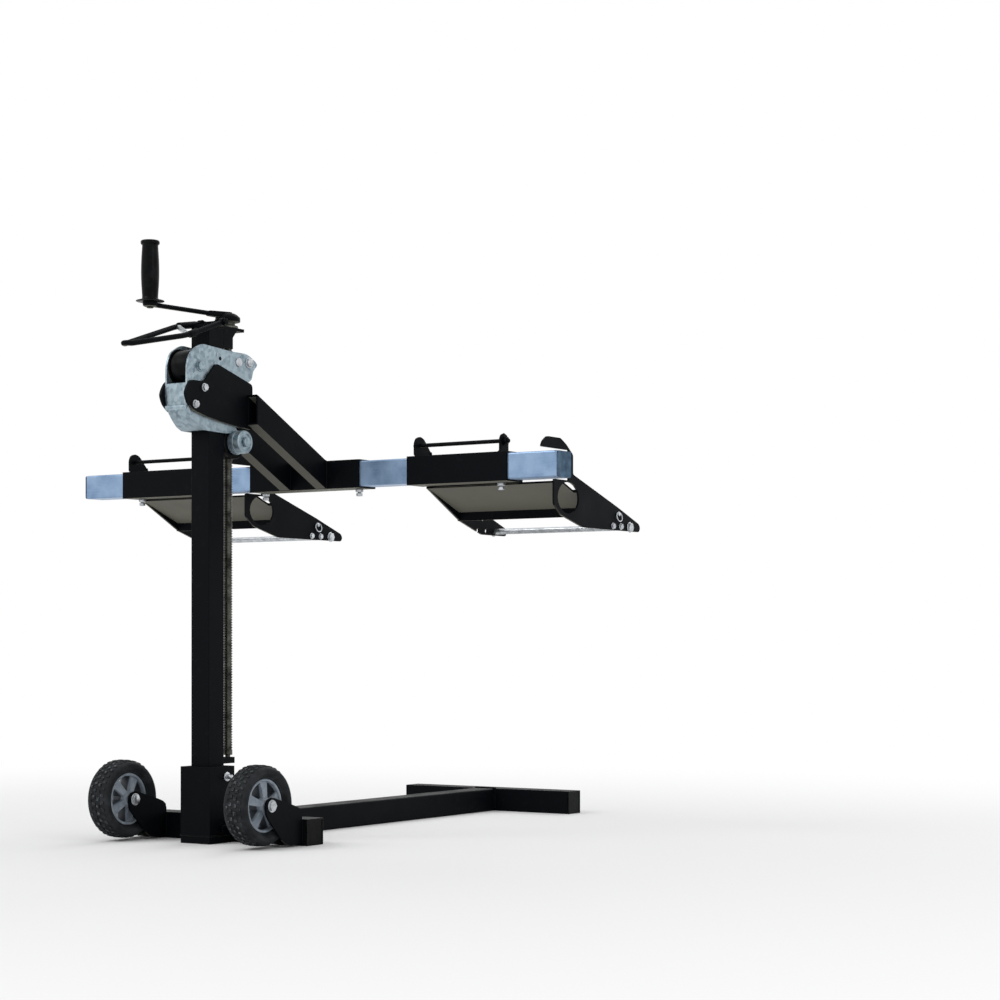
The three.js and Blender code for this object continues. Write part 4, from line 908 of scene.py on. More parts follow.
def screw_thread():
    """The helical skin of the lead screw, from one profile swept up the axis."""
    deselect_all()
    depth = SCREW_RADIUS - SCREW_ROOT
    flank = SCREW_ROOT + depth / 2
    tooth_middle = (flank, 0, THREAD_LOW + SCREW_LEAD * TOOTH_SHARE / 2)
    bpy.ops.mesh.primitive_plane_add(size=1, location=tooth_middle, rotation=(math.radians(90), 0, 0))
    thread = bpy.context.object
    thread.scale = (depth, SCREW_LEAD * TOOTH_SHARE, 1)
    bpy.ops.object.transform_apply(location=True, rotation=True, scale=True)
    edit(thread, "EDGE")
    choose(thread, "EDGE", lambda edge: all(corner.co.x < flank for corner in edge.verts))
    bpy.ops.mesh.delete(type="EDGE_FACE")
    bpy.ops.mesh.select_mode(type="VERT")
    choose(thread, "VERT", lambda corner: corner.co.x > flank)
    bpy.ops.transform.resize(value=(1, 1, CREST_SHARE), center_override=tooth_middle)
    choose(thread, "VERT", lambda corner: corner.co.x < flank and corner.co.z > tooth_middle[2])
    bpy.ops.mesh.extrude_region_move(TRANSFORM_OT_translate={"value": (0, 0, SCREW_LEAD * (1 - TOOTH_SHARE))})
    bpy.ops.object.mode_set(mode="OBJECT")
    climb = thread.modifiers.new("climb", "SCREW")
    climb.axis = "Z"
    climb.angle = 2 * math.pi
    climb.screw_offset = SCREW_LEAD
    climb.iterations = round((THREAD_HIGH - THREAD_LOW) / SCREW_LEAD)
    climb.steps = climb.render_steps = SCREW_STEPS
    climb.use_merge_vertices = True
    bpy.ops.object.modifier_apply(modifier="climb")
    thread.location = screw_axis
    bpy.ops.object.transform_apply(location=True, rotation=False, scale=False)
    clean(thread)
    bpy.ops.mesh.fill_holes(sides=0)
    return close_up(thread)


lower_end = turned([
    (JOURNAL_RADIUS - END_CUT, screw_low.z), (JOURNAL_RADIUS, screw_low.z + END_CUT_LONG),
    (JOURNAL_RADIUS, COLLAR_LOW), (SCREW_RADIUS - END_CUT, COLLAR_LOW),
    (SCREW_RADIUS, COLLAR_LOW + END_CUT_LONG),
    (SCREW_RADIUS, THREAD_LOW + SCREW_LEAD * 1.5), (SCREW_ROOT + 0.0002, THREAD_LOW + SCREW_LEAD * 1.9),
], screw_axis, "Z", ROUND_SMALL)
upper_end = turned([
    (SCREW_ROOT - 0.0001, THREAD_HIGH - SCREW_LEAD * 1.2), (NECK_RADIUS, THREAD_HIGH - SCREW_LEAD * 0.8),
    (NECK_RADIUS, screw_high.z - NECK_CUT), (NECK_RADIUS - NECK_CUT, screw_high.z),
], screw_axis, "Z", ROUND_SMALL)
lead_screw = stand_for("lead_screw", joined([screw_thread(), lower_end, upper_end]), "screw_steel")
print(lead_screw.name, len(lead_screw.data.polygons), "faces")

# %% [markdown]
# The crank's grip is a soft black barrel, fullest at the middle, with a thin guard below and a dished cap on
# top. Its profile is read from the bottom up. The mould leaves a small fillet wherever two parts of it meet.

# %% Grip
GRIP_STEPS = [
    (18.0, 0.0), (25.8, 0.2), (27.0, 0.9), (26.9, 1.7), (25.4, 2.4), (19.4, 3.2), (16.9, 4.2), (15.4, 6.4),
    (15.1, 10.0), (15.7, 20.0), (16.5, 32.0), (17.0, 44.0), (17.2, 57.0), (17.0, 70.0), (16.5, 83.0),
    (15.7, 96.0), (15.1, 105.5), (15.4, 107.6), (16.8, 108.6), (17.7, 109.6), (18.0, 111.2), (18.0, 113.2),
    (17.5, 115.0), (16.2, 115.9), (14.4, 116.0), (12.6, 115.2), (11.0, 113.6), (4.0, 113.0),
]
grip_low, grip_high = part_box("crank_grip")
grip_axis = Vector(((grip_low.x + grip_high.x) / 2, (grip_low.y + grip_high.y) / 2, grip_low.z))
grip = stand_for("crank_grip", turned(in_metres(GRIP_STEPS), grip_axis, "Z", ROUND_WIDE), "black_plastic")
print(grip.name, "height in mm:", round((grip_high.z - grip_low.z) / MM))

# %% [markdown]
# The crank is a cast hub with a sloping shoulder, a thick root that grows out of it, and a thin rod that ends
# in an eye under the grip. Hub, rod and eye are turned. The root is a block, tapered to the rod and rounded.

# %% Crank
HUB_STEPS = [
    (21.5, 0.0), (23.6, 0.5), (24.2, 1.8), (24.2, 7.8), (23.6, 9.6), (18.4, 14.2), (15.6, 16.0), (12.4, 17.0),
    (11.6, 17.2),
]
HUB_HIGH, HUB_NUT, HUB_NUT_HIGH = 0.020, 0.0088, 0.004
ROOT_HALF, ROOT_HIGH, ROOT_FROM, ROOT_TO = 0.009, 0.0125, 0.004, 0.046
ROOT_TAPER, ROOT_ROUND, ROOT_STEP, ROOT_CORNER = (1, 0.78, 0.82), 0.0022, 0.003, 0.6
ROD_RADIUS, ROD_INTO_ROOT, ROD_BELOW_GRIP = 0.0046, 0.006, 0.0003
EYE_RADIUS = 0.0142
EYE_STEPS = [
    (EYE_RADIUS * 0.72, 0), (EYE_RADIUS * 0.9, 0.0012), (EYE_RADIUS, 0.005), (EYE_RADIUS, 0.0083),
    (EYE_RADIUS - 0.0009, 0.0092),
]
SPINDLE_RADIUS, SPINDLE_HEAD, SPINDLE_HEAD_HIGH, SPINDLE_IN_HEAD = 0.004, 0.0066, 0.0024, 0.001
hub_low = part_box("crank_hub")[0]
hub_top = hub_low.z + HUB_HIGH
screw_top = Vector((0, screw_axis.y, 0))
reach_line = Vector((grip_axis.x, grip_axis.y, 0)) - screw_top
crank_reach = reach_line.length
crank_turn = Matrix.Translation(screw_top) @ Matrix.Rotation(math.atan2(reach_line.y, reach_line.x), 4, "Z")
rod_start = Vector((ROOT_TO - ROD_INTO_ROOT, 0, hub_top - ROOT_HIGH / 2))
rod_end = Vector((crank_reach, 0, grip_axis.z - ROD_BELOW_GRIP - ROD_RADIUS))


def between(start, end, profile, sides=ROUND_SMALL):
    """A turned piece whose axis runs from one point towards another; its distances start at the first."""
    piece = turned(profile, (0, 0, 0), "X", sides)
    lean = (end - start).to_track_quat("X", "Z").to_matrix().to_4x4()
    piece.data.transform(Matrix.Translation(start) @ lean)
    return piece


hub = turned(in_metres(HUB_STEPS), (0, screw_axis.y, hub_low.z), "Z", ROUND_WIDE)
hub_nut = hexagon((0, screw_axis.y, hub_top - HUB_NUT_HIGH / 2), "Z", 1, HUB_NUT, HUB_NUT_HIGH)
stand_for("crank_hub", joined([hub, hub_nut]), "black_powder_coat")

root_middle = ((ROOT_FROM + ROOT_TO) / 2, 0, hub_top - ROOT_HIGH / 2)
root = block(root_middle, (ROOT_TO - ROOT_FROM, 2 * ROOT_HALF, ROOT_HIGH))
choose(root, "FACE", looks("X"))
bpy.ops.transform.resize(value=ROOT_TAPER, center_override=rod_start)
bpy.ops.mesh.inset(thickness=ROOT_ROUND, depth=ROOT_STEP)
bpy.ops.mesh.select_mode(type="EDGE")
choose(root, "EDGE", lambda edge: edge.calc_face_angle(0) > ROOT_CORNER)
bpy.ops.mesh.bevel(offset=ROOT_ROUND, segments=3, affect="EDGES")
close_up(root)
rod_line = between(rod_start, rod_end, [(ROD_RADIUS, 0), (ROD_RADIUS, (rod_end - rod_start).length)])
eye = turned(EYE_STEPS, (crank_reach, 0, rod_end.z - ROD_RADIUS), "Z")
crank_arm = joined([root, rod_line, eye])
crank_arm.data.transform(crank_turn)
stand_for("crank_arm", crank_arm, "black_powder_coat")

spindle_low, spindle_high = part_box("crank_grip_spindle")
head_middle = (grip_axis.x, grip_axis.y, spindle_low.z + SPINDLE_HEAD_HIGH / 2)
spindle_head = hexagon(head_middle, "Z", -1, SPINDLE_HEAD, SPINDLE_HEAD_HIGH)
spindle_steps = [(SPINDLE_RADIUS, spindle_low.z + SPINDLE_IN_HEAD), (SPINDLE_RADIUS, spindle_high.z)]
spindle_rod = turned(spindle_steps, (grip_axis.x, grip_axis.y, 0), "Z", ROUND_SLIM)
stand_for("crank_grip_spindle", joined([spindle_rod, spindle_head]), "black_powder_coat")
print("crank reach in mm:", round(crank_reach / MM))

# %% [markdown]
# Under the hub sits a flanged bearing of plain steel, coloured darker than the bolts as painted shade. Only
# its rim shows.

# %% Head bearing
BEARING_STEPS = [
    (8.4, 0.0), (19.2, 0.0), (20.0, 0.8), (20.0, 4.2), (19.2, 5.0), (15.0, 6.2), (14.2, 8.0), (14.0, 11.6),
    (8.4, 12.0),
]
BEARING_PALE, BEARING_DULL = (0.13, 0.13, 0.115), (0.06, 0.06, 0.052)
bearing_place = (0, screw_axis.y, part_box("head_bearing")[0].z)
bearing = turned(in_metres(BEARING_STEPS), bearing_place, "Z", ring=True)
# A darker copy of the steel finish: painted shade on the bearing.
shaded_bearing_steel = metal("bearing_steel", BEARING_PALE, BEARING_DULL, roughness=0.45, scale=120)
stand_for("head_bearing", bearing, "bright_bolt", finish=shaded_bearing_steel)
print(bearing.name, "made")

# %% [markdown]
# The carriage rolls on a wide roller behind the mast and two narrow ones in front. They are turned from black
# nylon: a slightly crowned tread with rounded rims, a shallow dish in each end and a hub round the bore.

# %% Rollers
ROLLER_BORE, ROLLER_HUB, ROLLER_DISH = 0.0063, 0.013, 0.002
HUB_SLOPE, TREAD_CROWN, SOFT_SHARE = 0.001, 0.0004, 0.35
ROLLER_RIMS = {"upper_roller": 0.005, "lower_roller_left": 0.003, "lower_roller_right": 0.003}


def both_ends(steps):
    """A profile that is the same on both sides of its middle, from the half of it with positive distances."""
    return steps + [(radius, -along) for radius, along in reversed(steps) if along > 0]


def roller(node, rim):
    """A turned roller that fills its CAD node's box; its axis runs along X."""
    low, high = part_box(node)
    half, tread = (high.x - low.x) / 2, (high.z - low.z) / 2
    soft = rim * SOFT_SHARE
    steps = [
        (ROLLER_BORE, half), (ROLLER_HUB, half), (ROLLER_HUB + HUB_SLOPE, half - ROLLER_DISH),
        (tread - rim * 1.4, half - ROLLER_DISH), (tread - rim, half - soft * 0.4),
        (tread - soft, half - soft * 0.5), (tread - soft * 0.2, half - soft * 1.6),
        (tread - TREAD_CROWN, half - rim), (tread, half * 0.4),
    ]
    piece = turned(both_ends(steps), (low + high) / 2, "X", ROUND_WIDE, ring=True)
    return stand_for(node, piece, slot_of[node])


for node, rim_size in ROLLER_RIMS.items():
    print(roller(node, rim_size).name, "made")

# %% [markdown]
# The tyre is a solid rubber ring with a bead, a bulging side wall and a rounded shoulder, and six rows of
# small knobs. One knob is shaped from a block, narrower at its top, and then copied round the ring. The
# rows are staggered, as they are on a real tread.

# %% Tyres
TYRE_STEPS = [
    (50.4, 13.0), (50.8, 16.0), (52.2, 18.2), (53.8, 18.8), (55.6, 21.4), (58.4, 24.4), (61.6, 26.3),
    (64.6, 27.0), (67.4, 26.5), (69.8, 24.8), (72.0, 21.4), (73.4, 16.0), (74.0, 8.0),
]
KNOBS_AROUND, KNOB_SINK, KNOB_TOP, KNOB_TAPER = 34, 2.2, 75.9, 0.8
KNOB_ROWS = (
    {"across": 5.2, "wide": 7.6, "long": 8.0, "turn": 0.0, "lean": 0},
    {"across": 14.8, "wide": 8.2, "long": 7.4, "turn": 0.5, "lean": 8},
    {"across": 22.3, "wide": 6.0, "long": 8.4, "turn": 0.0, "lean": 42},
)
RIGHT_ROWS_TURN = 0.25
SHOULDER_FROM, SHOULDER_DROP, LEAN_DROP = 16, 0.34, 0.0075
tyre_low, tyre_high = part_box("wheel_tyre_right")
wheel_centre = (tyre_low + tyre_high) / 2
wheel_centre.yz = rim_middle.yz
AT_HUB = Matrix.Translation(wheel_centre)
TO_LEFT_WHEEL = Matrix.Translation((-2 * wheel_centre.x, 0, 0))


def knob(side, across, wide, long, lean):
    """One rubber knob at the top of a wheel at the origin, narrower at its top; sizes in millimetres."""
    top = (KNOB_TOP - across * lean * LEAN_DROP - max(0, across - SHOULDER_FROM) * SHOULDER_DROP) * MM
    place = Vector((side * across * MM, 0, top - KNOB_SINK * MM))
    piece = block(place, (wide * MM, long * MM, 2 * KNOB_SINK * MM))
    choose(piece, "FACE", looks("Z"))
    bpy.ops.transform.resize(value=(KNOB_TAPER, KNOB_TAPER, 1), center_override=(place.x, 0, top))
    choose(piece, "FACE", looks("Z", -1))
    bpy.ops.mesh.delete(type="ONLY_FACE")
    bpy.ops.object.mode_set(mode="OBJECT")
    centre = Matrix.Translation(place)
    piece.data.transform(centre @ Matrix.Rotation(math.radians(side * lean), 4, "Y") @ centre.inverted())
    return piece


def around_wheel(first, count, start=0.0):
    """Copies of a piece round the right wheel's axle; the piece itself goes."""
    copies = [copied(first, AT_HUB @ Matrix.Rotation(2 * math.pi * (i + start) / count, 4, "X"))
              for i in range(count)]
    bpy.data.objects.remove(first)
    return copies


def both_wheels(kind, right, slot_name, to_left):
    """Dress the right wheel's piece, and a copy of it on the left wheel."""
    left = copied(right, to_left)
    for side, piece in (("right", right), ("left", left)):
        stand_for(f"wheel_{kind}_{side}", piece, slot_name)
    print(kind, "faces:", len(right.data.polygons))


tyre_parts = [turned(in_metres(both_ends(TYRE_STEPS)), wheel_centre, "X", ROUND_WHEEL, ring=True)]
for row in KNOB_ROWS:
    for side in SIDES.values():
        first = knob(side, row["across"], row["wide"], row["long"], row["lean"])
        start = row["turn"] + (RIGHT_ROWS_TURN if side > 0 else 0)
        tyre_parts += around_wheel(first, KNOBS_AROUND, start)
both_wheels("tyre", joined(tyre_parts), "rubber", TO_LEFT_WHEEL)

# %% [markdown]
# The rim is moulded in grey plastic: a barrel under the tyre with a rolled lip on both sides, a hub, and five
# deep spokes that widen towards the barrel. One spoke is shaped from a block and copied round the hub.

# %% Rims
BARREL_STEPS = [
    (49.9, 12.0), (50.4, 14.6), (50.2, 16.2), (48.8, 17.2), (46.8, 16.9), (45.4, 15.4), (44.8, 12.0),
    (44.2, 7.0), (43.8, 0.0),
]
HUB_RIM_STEPS = [(6.3, 23.2), (12.4, 24.0), (14.0, 23.4), (14.8, 21.8), (15.6, 14.0), (16.0, 0.0)]
SPOKES = 5
SPOKE_IN, SPOKE_OUT = 12.0, 45.5
SPOKE_WIDE_IN, SPOKE_WIDE_OUT = 10.0, 20.5
SPOKE_DEEP_IN, SPOKE_DEEP_OUT = 19.0, 13.0
SPOKE_EDGE, SPOKE_INSET, SPOKE_DISH, SPOKE_FRONT, SPOKE_CORNER = 0.8, 2.56, 0.9, 0.95, 0.8
LEFT_WHEEL_ROLLED = -26


def spoke():
    """One deep spoke that points up from a hub at the origin."""
    reach = (SPOKE_OUT - SPOKE_IN) * MM
    centre = (0, 0, (SPOKE_IN + SPOKE_OUT) / 2 * MM)
    piece = block(centre, (2 * SPOKE_DEEP_IN * MM, SPOKE_WIDE_IN * MM, reach))
    choose(piece, "FACE", looks("Z"))
    bpy.ops.transform.resize(value=(SPOKE_DEEP_OUT / SPOKE_DEEP_IN, SPOKE_WIDE_OUT / SPOKE_WIDE_IN, 1),
                             center_override=(0, 0, SPOKE_OUT * MM))
    choose(piece, "FACE", lambda face: abs(face.normal.x) > FACING)
    bpy.ops.mesh.inset(thickness=SPOKE_INSET * MM, depth=0)
    bpy.ops.transform.resize(value=(SPOKE_DISH, 1, 1), center_override=(0, 0, 0))
    bpy.ops.mesh.select_mode(type="EDGE")
    front = SPOKE_FRONT * SPOKE_DEEP_OUT * MM
    choose(piece, "EDGE", lambda edge: all(abs(corner.co.x) > front for corner in edge.verts)
           and edge.calc_face_angle(0) > SPOKE_CORNER)
    bpy.ops.mesh.bevel(offset=SPOKE_EDGE * MM, segments=2, affect="EDGES")
    return close_up(piece)


first = spoke()
rim_parts = [
    turned(in_metres(both_ends(BARREL_STEPS)), wheel_centre, "X", ROUND_WHEEL, ring=True),
    turned(in_metres(both_ends(HUB_RIM_STEPS)), wheel_centre, "X", ring=True),
]
rolled = AT_HUB @ Matrix.Rotation(math.radians(LEFT_WHEEL_ROLLED), 4, "X") @ AT_HUB.inverted()
both_wheels("rim", joined(rim_parts + around_wheel(first, SPOKES)), "rim_plastic", TO_LEFT_WHEEL @ rolled)

# %% [markdown]
# The pull handle is one bent rod. A bent rod is easiest as a curve: straight runs, a rounded corner at each
# knee and a round nose, with the rod's radius as the curve's bevel. It is then converted to a mesh. At the
# top each leg ends in an eye on the bolt, and a thicker sleeve covers part of each leg.

# %% Pull handle
HANDLE_ROD = 0.0052
LEG_X = 0.02695
NEAR_KNEE, FAR_KNEE, KNEE_REACH = (-0.099, -0.036), (-0.069, -0.012), 0.020
NOSE, NOSE_HALF = (-0.2462, -0.066), 0.0068
NOSE_TIP_SHARE = 0.55
NOSE_SIDE, NOSE_TIP = {"wider": 0.0012, "back": 0.010, "reach": 0.004}, {"back": 0.0012, "reach": 0.003}
pin_low, pin_high, pin_y, pin_z = axis_of("pull_handle_bolt")
near_eye, far_eye = Vector((LEG_X, pin_y, pin_z)), Vector((-LEG_X, pin_y, pin_z))
near_knee = Vector((LEG_X, pin_y + NEAR_KNEE[0], pin_z + NEAR_KNEE[1]))
far_knee = Vector((-LEG_X, pin_y + FAR_KNEE[0], pin_z + FAR_KNEE[1]))
nose_y, nose_z = pin_y + NOSE[0], pin_z + NOSE[1]
side_x, tip_x = NOSE_HALF + NOSE_SIDE["wider"], NOSE_HALF * NOSE_TIP_SHARE
side_y, tip_y = nose_y + NOSE_SIDE["back"], nose_y + NOSE_TIP["back"]
HANDLE_ROUTE = [
    (near_eye, 0.0), (near_knee, KNEE_REACH),
    (Vector((side_x, side_y, nose_z)), NOSE_SIDE["reach"]),
    (Vector((tip_x, tip_y, nose_z)), NOSE_TIP["reach"]),
    (Vector((-tip_x, tip_y, nose_z)), NOSE_TIP["reach"]),
    (Vector((-side_x, side_y, nose_z)), NOSE_SIDE["reach"]),
    (far_knee, KNEE_REACH), (far_eye, 0.0),
]
EYE_LONG = 0.01
HANDLE_EYE = [(0.0074, 0), (0.008, 0.0006), (0.008, 0.0094), (0.0074, EYE_LONG)]
SLEEVE_STEPS = [(0.0052, 0), (0.0066, 0.001), (0.0069, 0.003)]
SLEEVE_FROM = 0.02
FAR_SLEEVE, NEAR_SLEEVE = 0.053, 0.023


def rounded_route(corners, steps=6):
    """Points along straight runs, each corner replaced by a short arc that starts at its reach."""
    points = []
    for i, (here, reach) in enumerate(corners):
        if reach == 0:
            points.append(here)
            continue
        before = here + (corners[i - 1][0] - here).normalized() * reach
        after = here + (corners[i + 1][0] - here).normalized() * reach
        for step in range(steps + 1):
            share = step / steps
            points.append(before * (1 - share) ** 2 + here * 2 * share * (1 - share) + after * share ** 2)
    return points


def rod_along(points, radius, sizes=None):
    """A round rod along points, made as a curve with a bevel and converted to a mesh."""
    deselect_all()
    bpy.ops.curve.primitive_nurbs_path_add(location=(0, 0, 0))
    curve = bpy.context.object.data
    curve.splines.clear()
    line = curve.splines.new("POLY")
    line.points.add(len(points) - 1)
    for i, point in enumerate(points):
        line.points[i].co = (*point, 1)
        line.points[i].radius = sizes[i] if sizes else 1
    curve.dimensions = "3D"
    curve.bevel_depth = radius
    curve.bevel_resolution = 6
    curve.use_fill_caps = True
    bpy.ops.object.convert(target="MESH")
    return close_up(clean(bpy.context.object))


def leg_sleeve(knee, eye, long):
    """The thicker sleeve on one leg, from its knee towards its eye."""
    steps = SLEEVE_STEPS + [(radius, long - along) for radius, along in reversed(SLEEVE_STEPS)]
    return between(knee + (eye - knee) * SLEEVE_FROM, eye, steps)


handle_parts = [rod_along(rounded_route(HANDLE_ROUTE), HANDLE_ROD)]
for side in SIDES.values():
    handle_parts.append(turned(HANDLE_EYE, (side * LEG_X - EYE_LONG / 2, pin_y, pin_z), "X", ROUND_SMALL))
handle_parts += [leg_sleeve(far_knee, far_eye, FAR_SLEEVE), leg_sleeve(near_knee, near_eye, NEAR_SLEEVE)]
handle = stand_for("pull_handle", joined(handle_parts), "black_powder_coat")
print(handle.name, len(handle.data.polygons), "faces")

# %% [markdown]
# The bolt through the pull handle's eyes is painted with the rest, so only its shape shows. The lock pin is a
# bright turned pin that stands out of the socket, with a collar near the wall and a rounded tip.

# %% Handle bolt and lock pin
HANDLE_BOLT, HANDLE_BOLT_HEAD, HANDLE_BOLT_THICK = 0.004, 0.0068, 0.0048
LOCK_HEAD = 0.006
bolt_ends = (pin_low.x + HANDLE_BOLT_THICK / 2, pin_high.x - HANDLE_BOLT_THICK / 2)
bolt_steps = [(HANDLE_BOLT, end) for end in bolt_ends]
handle_bolt = [turned(bolt_steps, (0, pin_y, pin_z), "X", ROUND_SLIM)]
for x, outward in ((pin_low.x, -1), (pin_high.x, 1)):
    head_middle = (x - outward * HANDLE_BOLT_THICK / 2, pin_y, pin_z)
    handle_bolt.append(hexagon(head_middle, "X", outward, HANDLE_BOLT_HEAD, HANDLE_BOLT_THICK))
stand_for("pull_handle_bolt", joined(handle_bolt), "black_powder_coat")

lock_low, lock_high, lock_y, lock_z = axis_of("mast_lock_pin")
collar = lock_high.x - LOCK_HEAD
LOCK_STEPS = [
    (0.0036, lock_low.x), (0.0048, lock_low.x + 0.0014), (0.005, lock_low.x + 0.003), (0.005, collar),
    (0.0086, collar), (0.009, collar + 0.0005), (0.009, collar + 0.0018), (0.0086, collar + 0.0023),
    (0.0046, collar + 0.0026), (0.0044, lock_high.x + 0.0062), (0.0038, lock_high.x + 0.0076),
    (0.0026, lock_high.x + 0.0082),
]
stand_for("mast_lock_pin", turned(LOCK_STEPS, (0, lock_y, lock_z), "X", ROUND_SMALL), "bright_bolt")
print("handle bolt and lock pin made")

# %% [markdown]
# At the tip of each pan's right wall two holes hold short bolts, and a higher hole carries a ring clip on a
# pin. The bolts are the same hexagons as before. The ring is a torus, stretched and hung from the pin's head.

# %% Pan tip bolts and ring clips
TIP_BOLTS_BACK = (0.035, 0.066)
TIP_HEAD, TIP_HEAD_THICK, TIP_NUT_THICK, TIP_SHANK = 0.0056, 0.004, 0.0035, 0.0042
TIP_HEAD_OUT, TIP_NUT_IN, TIP_SHANK_ENDS = 0.0026, 0.006, (-0.0075, 0.002)
TIP_WASHER, WASHER_OUT = {"bore": 0.003, "radius": 0.0066, "thick": 0.0009}, 0.0001
CLIP_BACK, CLIP_UP = 0.047, 0.024
CLIP_PIN = [(0.0038, -0.009), (0.0038, 0.0042), (0.003, 0.005)]
CLIP_RADIUS, CLIP_WIRE, CLIP_LEAN = 0.0092, 0.0011, math.radians(80)
RING_OUT, RING_BACK, RING_UP, RING_STRETCH = 0.0028, 0.002, 0.0042, (1, 1.12, 1)


def ring_clip(face, y, z):
    """A wire ring that hangs from a pin on the wall's face."""
    deselect_all()
    place = (face + RING_OUT, y + RING_BACK, z - CLIP_RADIUS + RING_UP)
    bpy.ops.mesh.primitive_torus_add(
        major_radius=CLIP_RADIUS, minor_radius=CLIP_WIRE, major_segments=40, minor_segments=10,
        location=place, rotation=(0, CLIP_LEAN, 0))
    ring = bpy.context.object
    bpy.ops.object.transform_apply(location=True, rotation=True, scale=True)
    edit(ring)
    bpy.ops.mesh.select_all(action="SELECT")
    bpy.ops.transform.resize(value=RING_STRETCH, center_override=(face, y, z))
    return close_up(ring)


def pan_tip(side):
    """The bolts and the ring clip on the outer face of one pan's right wall."""
    y, z = axis_of(f"pan_front_rod_{side}")[2:]
    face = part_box(f"pan_tray_{side}")[1].x
    shank = [(TIP_SHANK, face + end) for end in TIP_SHANK_ENDS]
    parts = []
    for back in TIP_BOLTS_BACK:
        at = y - back
        parts += [
            hexagon((face + TIP_HEAD_OUT, at, z), "X", 1, TIP_HEAD, TIP_HEAD_THICK),
            washer((face + WASHER_OUT, at, z), **TIP_WASHER),
            turned(shank, (0, at, z), "X", ROUND_SLIM),
            hexagon((face - TIP_NUT_IN, at, z), "X", -1, TIP_HEAD, TIP_NUT_THICK),
        ]
    clip_y, clip_z = y - CLIP_BACK, z + CLIP_UP
    clip_pin = turned(CLIP_PIN, (face, clip_y, clip_z), "X", ROUND_SLIM)
    parts += [clip_pin, ring_clip(face, clip_y, clip_z)]
    return dress(joined(parts), f"pan_tip_bolts_{side}", "bright_bolt", body_of[f"pan_tray_{side}"])


for side in SIDES:
    print(pan_tip(side).name, "made")

# %% [markdown]
# The lift is welded, and the beads show under the paint wherever tubes meet. A bead is a thin rod with
# ripples, laid in the corner between two faces. It is made like the bent rod, and its radius swells and
# shrinks from ripple to ripple.

# %% Weld beads
BEAD_RADIUS, PAN_BEAD, SOCKET_BEAD = 0.0026, 0.0022, 0.0017
RIPPLE, RIPPLE_LOW, BEAD_TAIL = 0.0023, 0.78, 0.7
TOE = 0.0009
BASE_BEAD_LOW, FORK_BEAD_LOW = 0.004, 0.006
FORK_BEAD_SHORT = 0.003
SOCKET_SEAM_UP, SEAM_OUT, SOCKET_TOP_SHORT = 0.0155, 0.0004, 0.004
LIFT_BEAD_SHORT, LIFT_BEAD_SUNK = 0.001, 0.0005
PAN_REAR_IN, PAN_BEAD_FROM, PAN_BEAD_SHORT = 0.0116, 0.018, 0.004
WALL_IN, WALL_BEAD_TOP = 0.0045, 0.0255
cross_low, cross_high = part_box("cross_tube")
spine_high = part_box("spine_tube")[1]
foot_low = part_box("foot_crossbar")[0]
socket_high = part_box("base_socket")[1]
sleeve_low, sleeve_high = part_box("centre_sleeve")


def bead(corners, radius):
    """A rippled bead through a few corner points, thin at its two ends."""
    points, sizes = [], []
    for start, end in zip(corners, corners[1:]):
        start, end = Vector(start), Vector(end)
        count = max(2, round((end - start).length / RIPPLE))
        for i in range(count):
            points.append(start.lerp(end, i / count))
            sizes.append(1.0 if len(points) % 2 else RIPPLE_LOW)
    points.append(Vector(corners[-1]))
    sizes.append(BEAD_TAIL)
    sizes[0] = BEAD_TAIL
    return rod_along(points, radius, sizes)


def bead_set(name, node, runs, radius=BEAD_RADIUS):
    """All beads of one weldment, as one piece on the body of a CAD node."""
    dress(joined([bead(run, radius) for run in runs]), name, "black_powder_coat", body_of[node])
    print(name, len(runs), "beads")


def upright(x, y, low, high):
    """The two ends of a bead that runs straight up."""
    return [(x, y, low), (x, y, high)]


def around_spine(y):
    """The bead that follows three sides of the spine tube where its end meets another tube."""
    half, top = spine_high.x + TOE, spine_high.z + TOE
    return [(-half, y, BASE_BEAD_LOW), (-half, y, top), (half, y, top), (half, y, BASE_BEAD_LOW)]


socket_y = socket_high.y - TOE
top_half, top_y, top_z = socket_high.x - SOCKET_TOP_SHORT, socket_high.y + TOE, cross_high.z + TOE
base_runs = [around_spine(cross_high.y + TOE), around_spine(foot_low.y - TOE)]
for side in SIDES.values():
    base_runs.append(upright(side * (socket_high.x + TOE), socket_y, BASE_BEAD_LOW, cross_high.z))
base_runs.append([(-top_half, top_y, top_z), (top_half, top_y, top_z)])
for side in SIDES:
    fork_low, fork_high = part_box(f"wheel_fork_{side}")
    for x in (fork_low.x - TOE, fork_high.x + TOE):
        base_runs.append(upright(x, cross_low.y - TOE, FORK_BEAD_LOW, cross_high.z - FORK_BEAD_SHORT))
bead_set("weld_beads_base", "cross_tube", base_runs)
wall = socket_high.x + SEAM_OUT
seam = [(x, y, SOCKET_SEAM_UP) for x, y in ((-wall, wall), (-wall, -wall), (wall, -wall), (wall, wall))]
bead_set("weld_bead_socket", "base_socket", [seam], SOCKET_BEAD)

lift_runs = []
for side in SIDES:
    arm_low, arm_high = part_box(f"lift_arm_{side}")
    y, top = sleeve_low.y - TOE, sleeve_high.z - LIFT_BEAD_SUNK
    for x in (arm_low.x - TOE, arm_high.x + TOE):
        lift_runs.append(upright(x, y, sleeve_low.z + LIFT_BEAD_SHORT, sleeve_high.z - LIFT_BEAD_SHORT))
    lift_runs.append([(arm_low.x, y, top), (arm_high.x, y, top)])
bead_set("weld_beads_lift", "centre_sleeve", lift_runs)

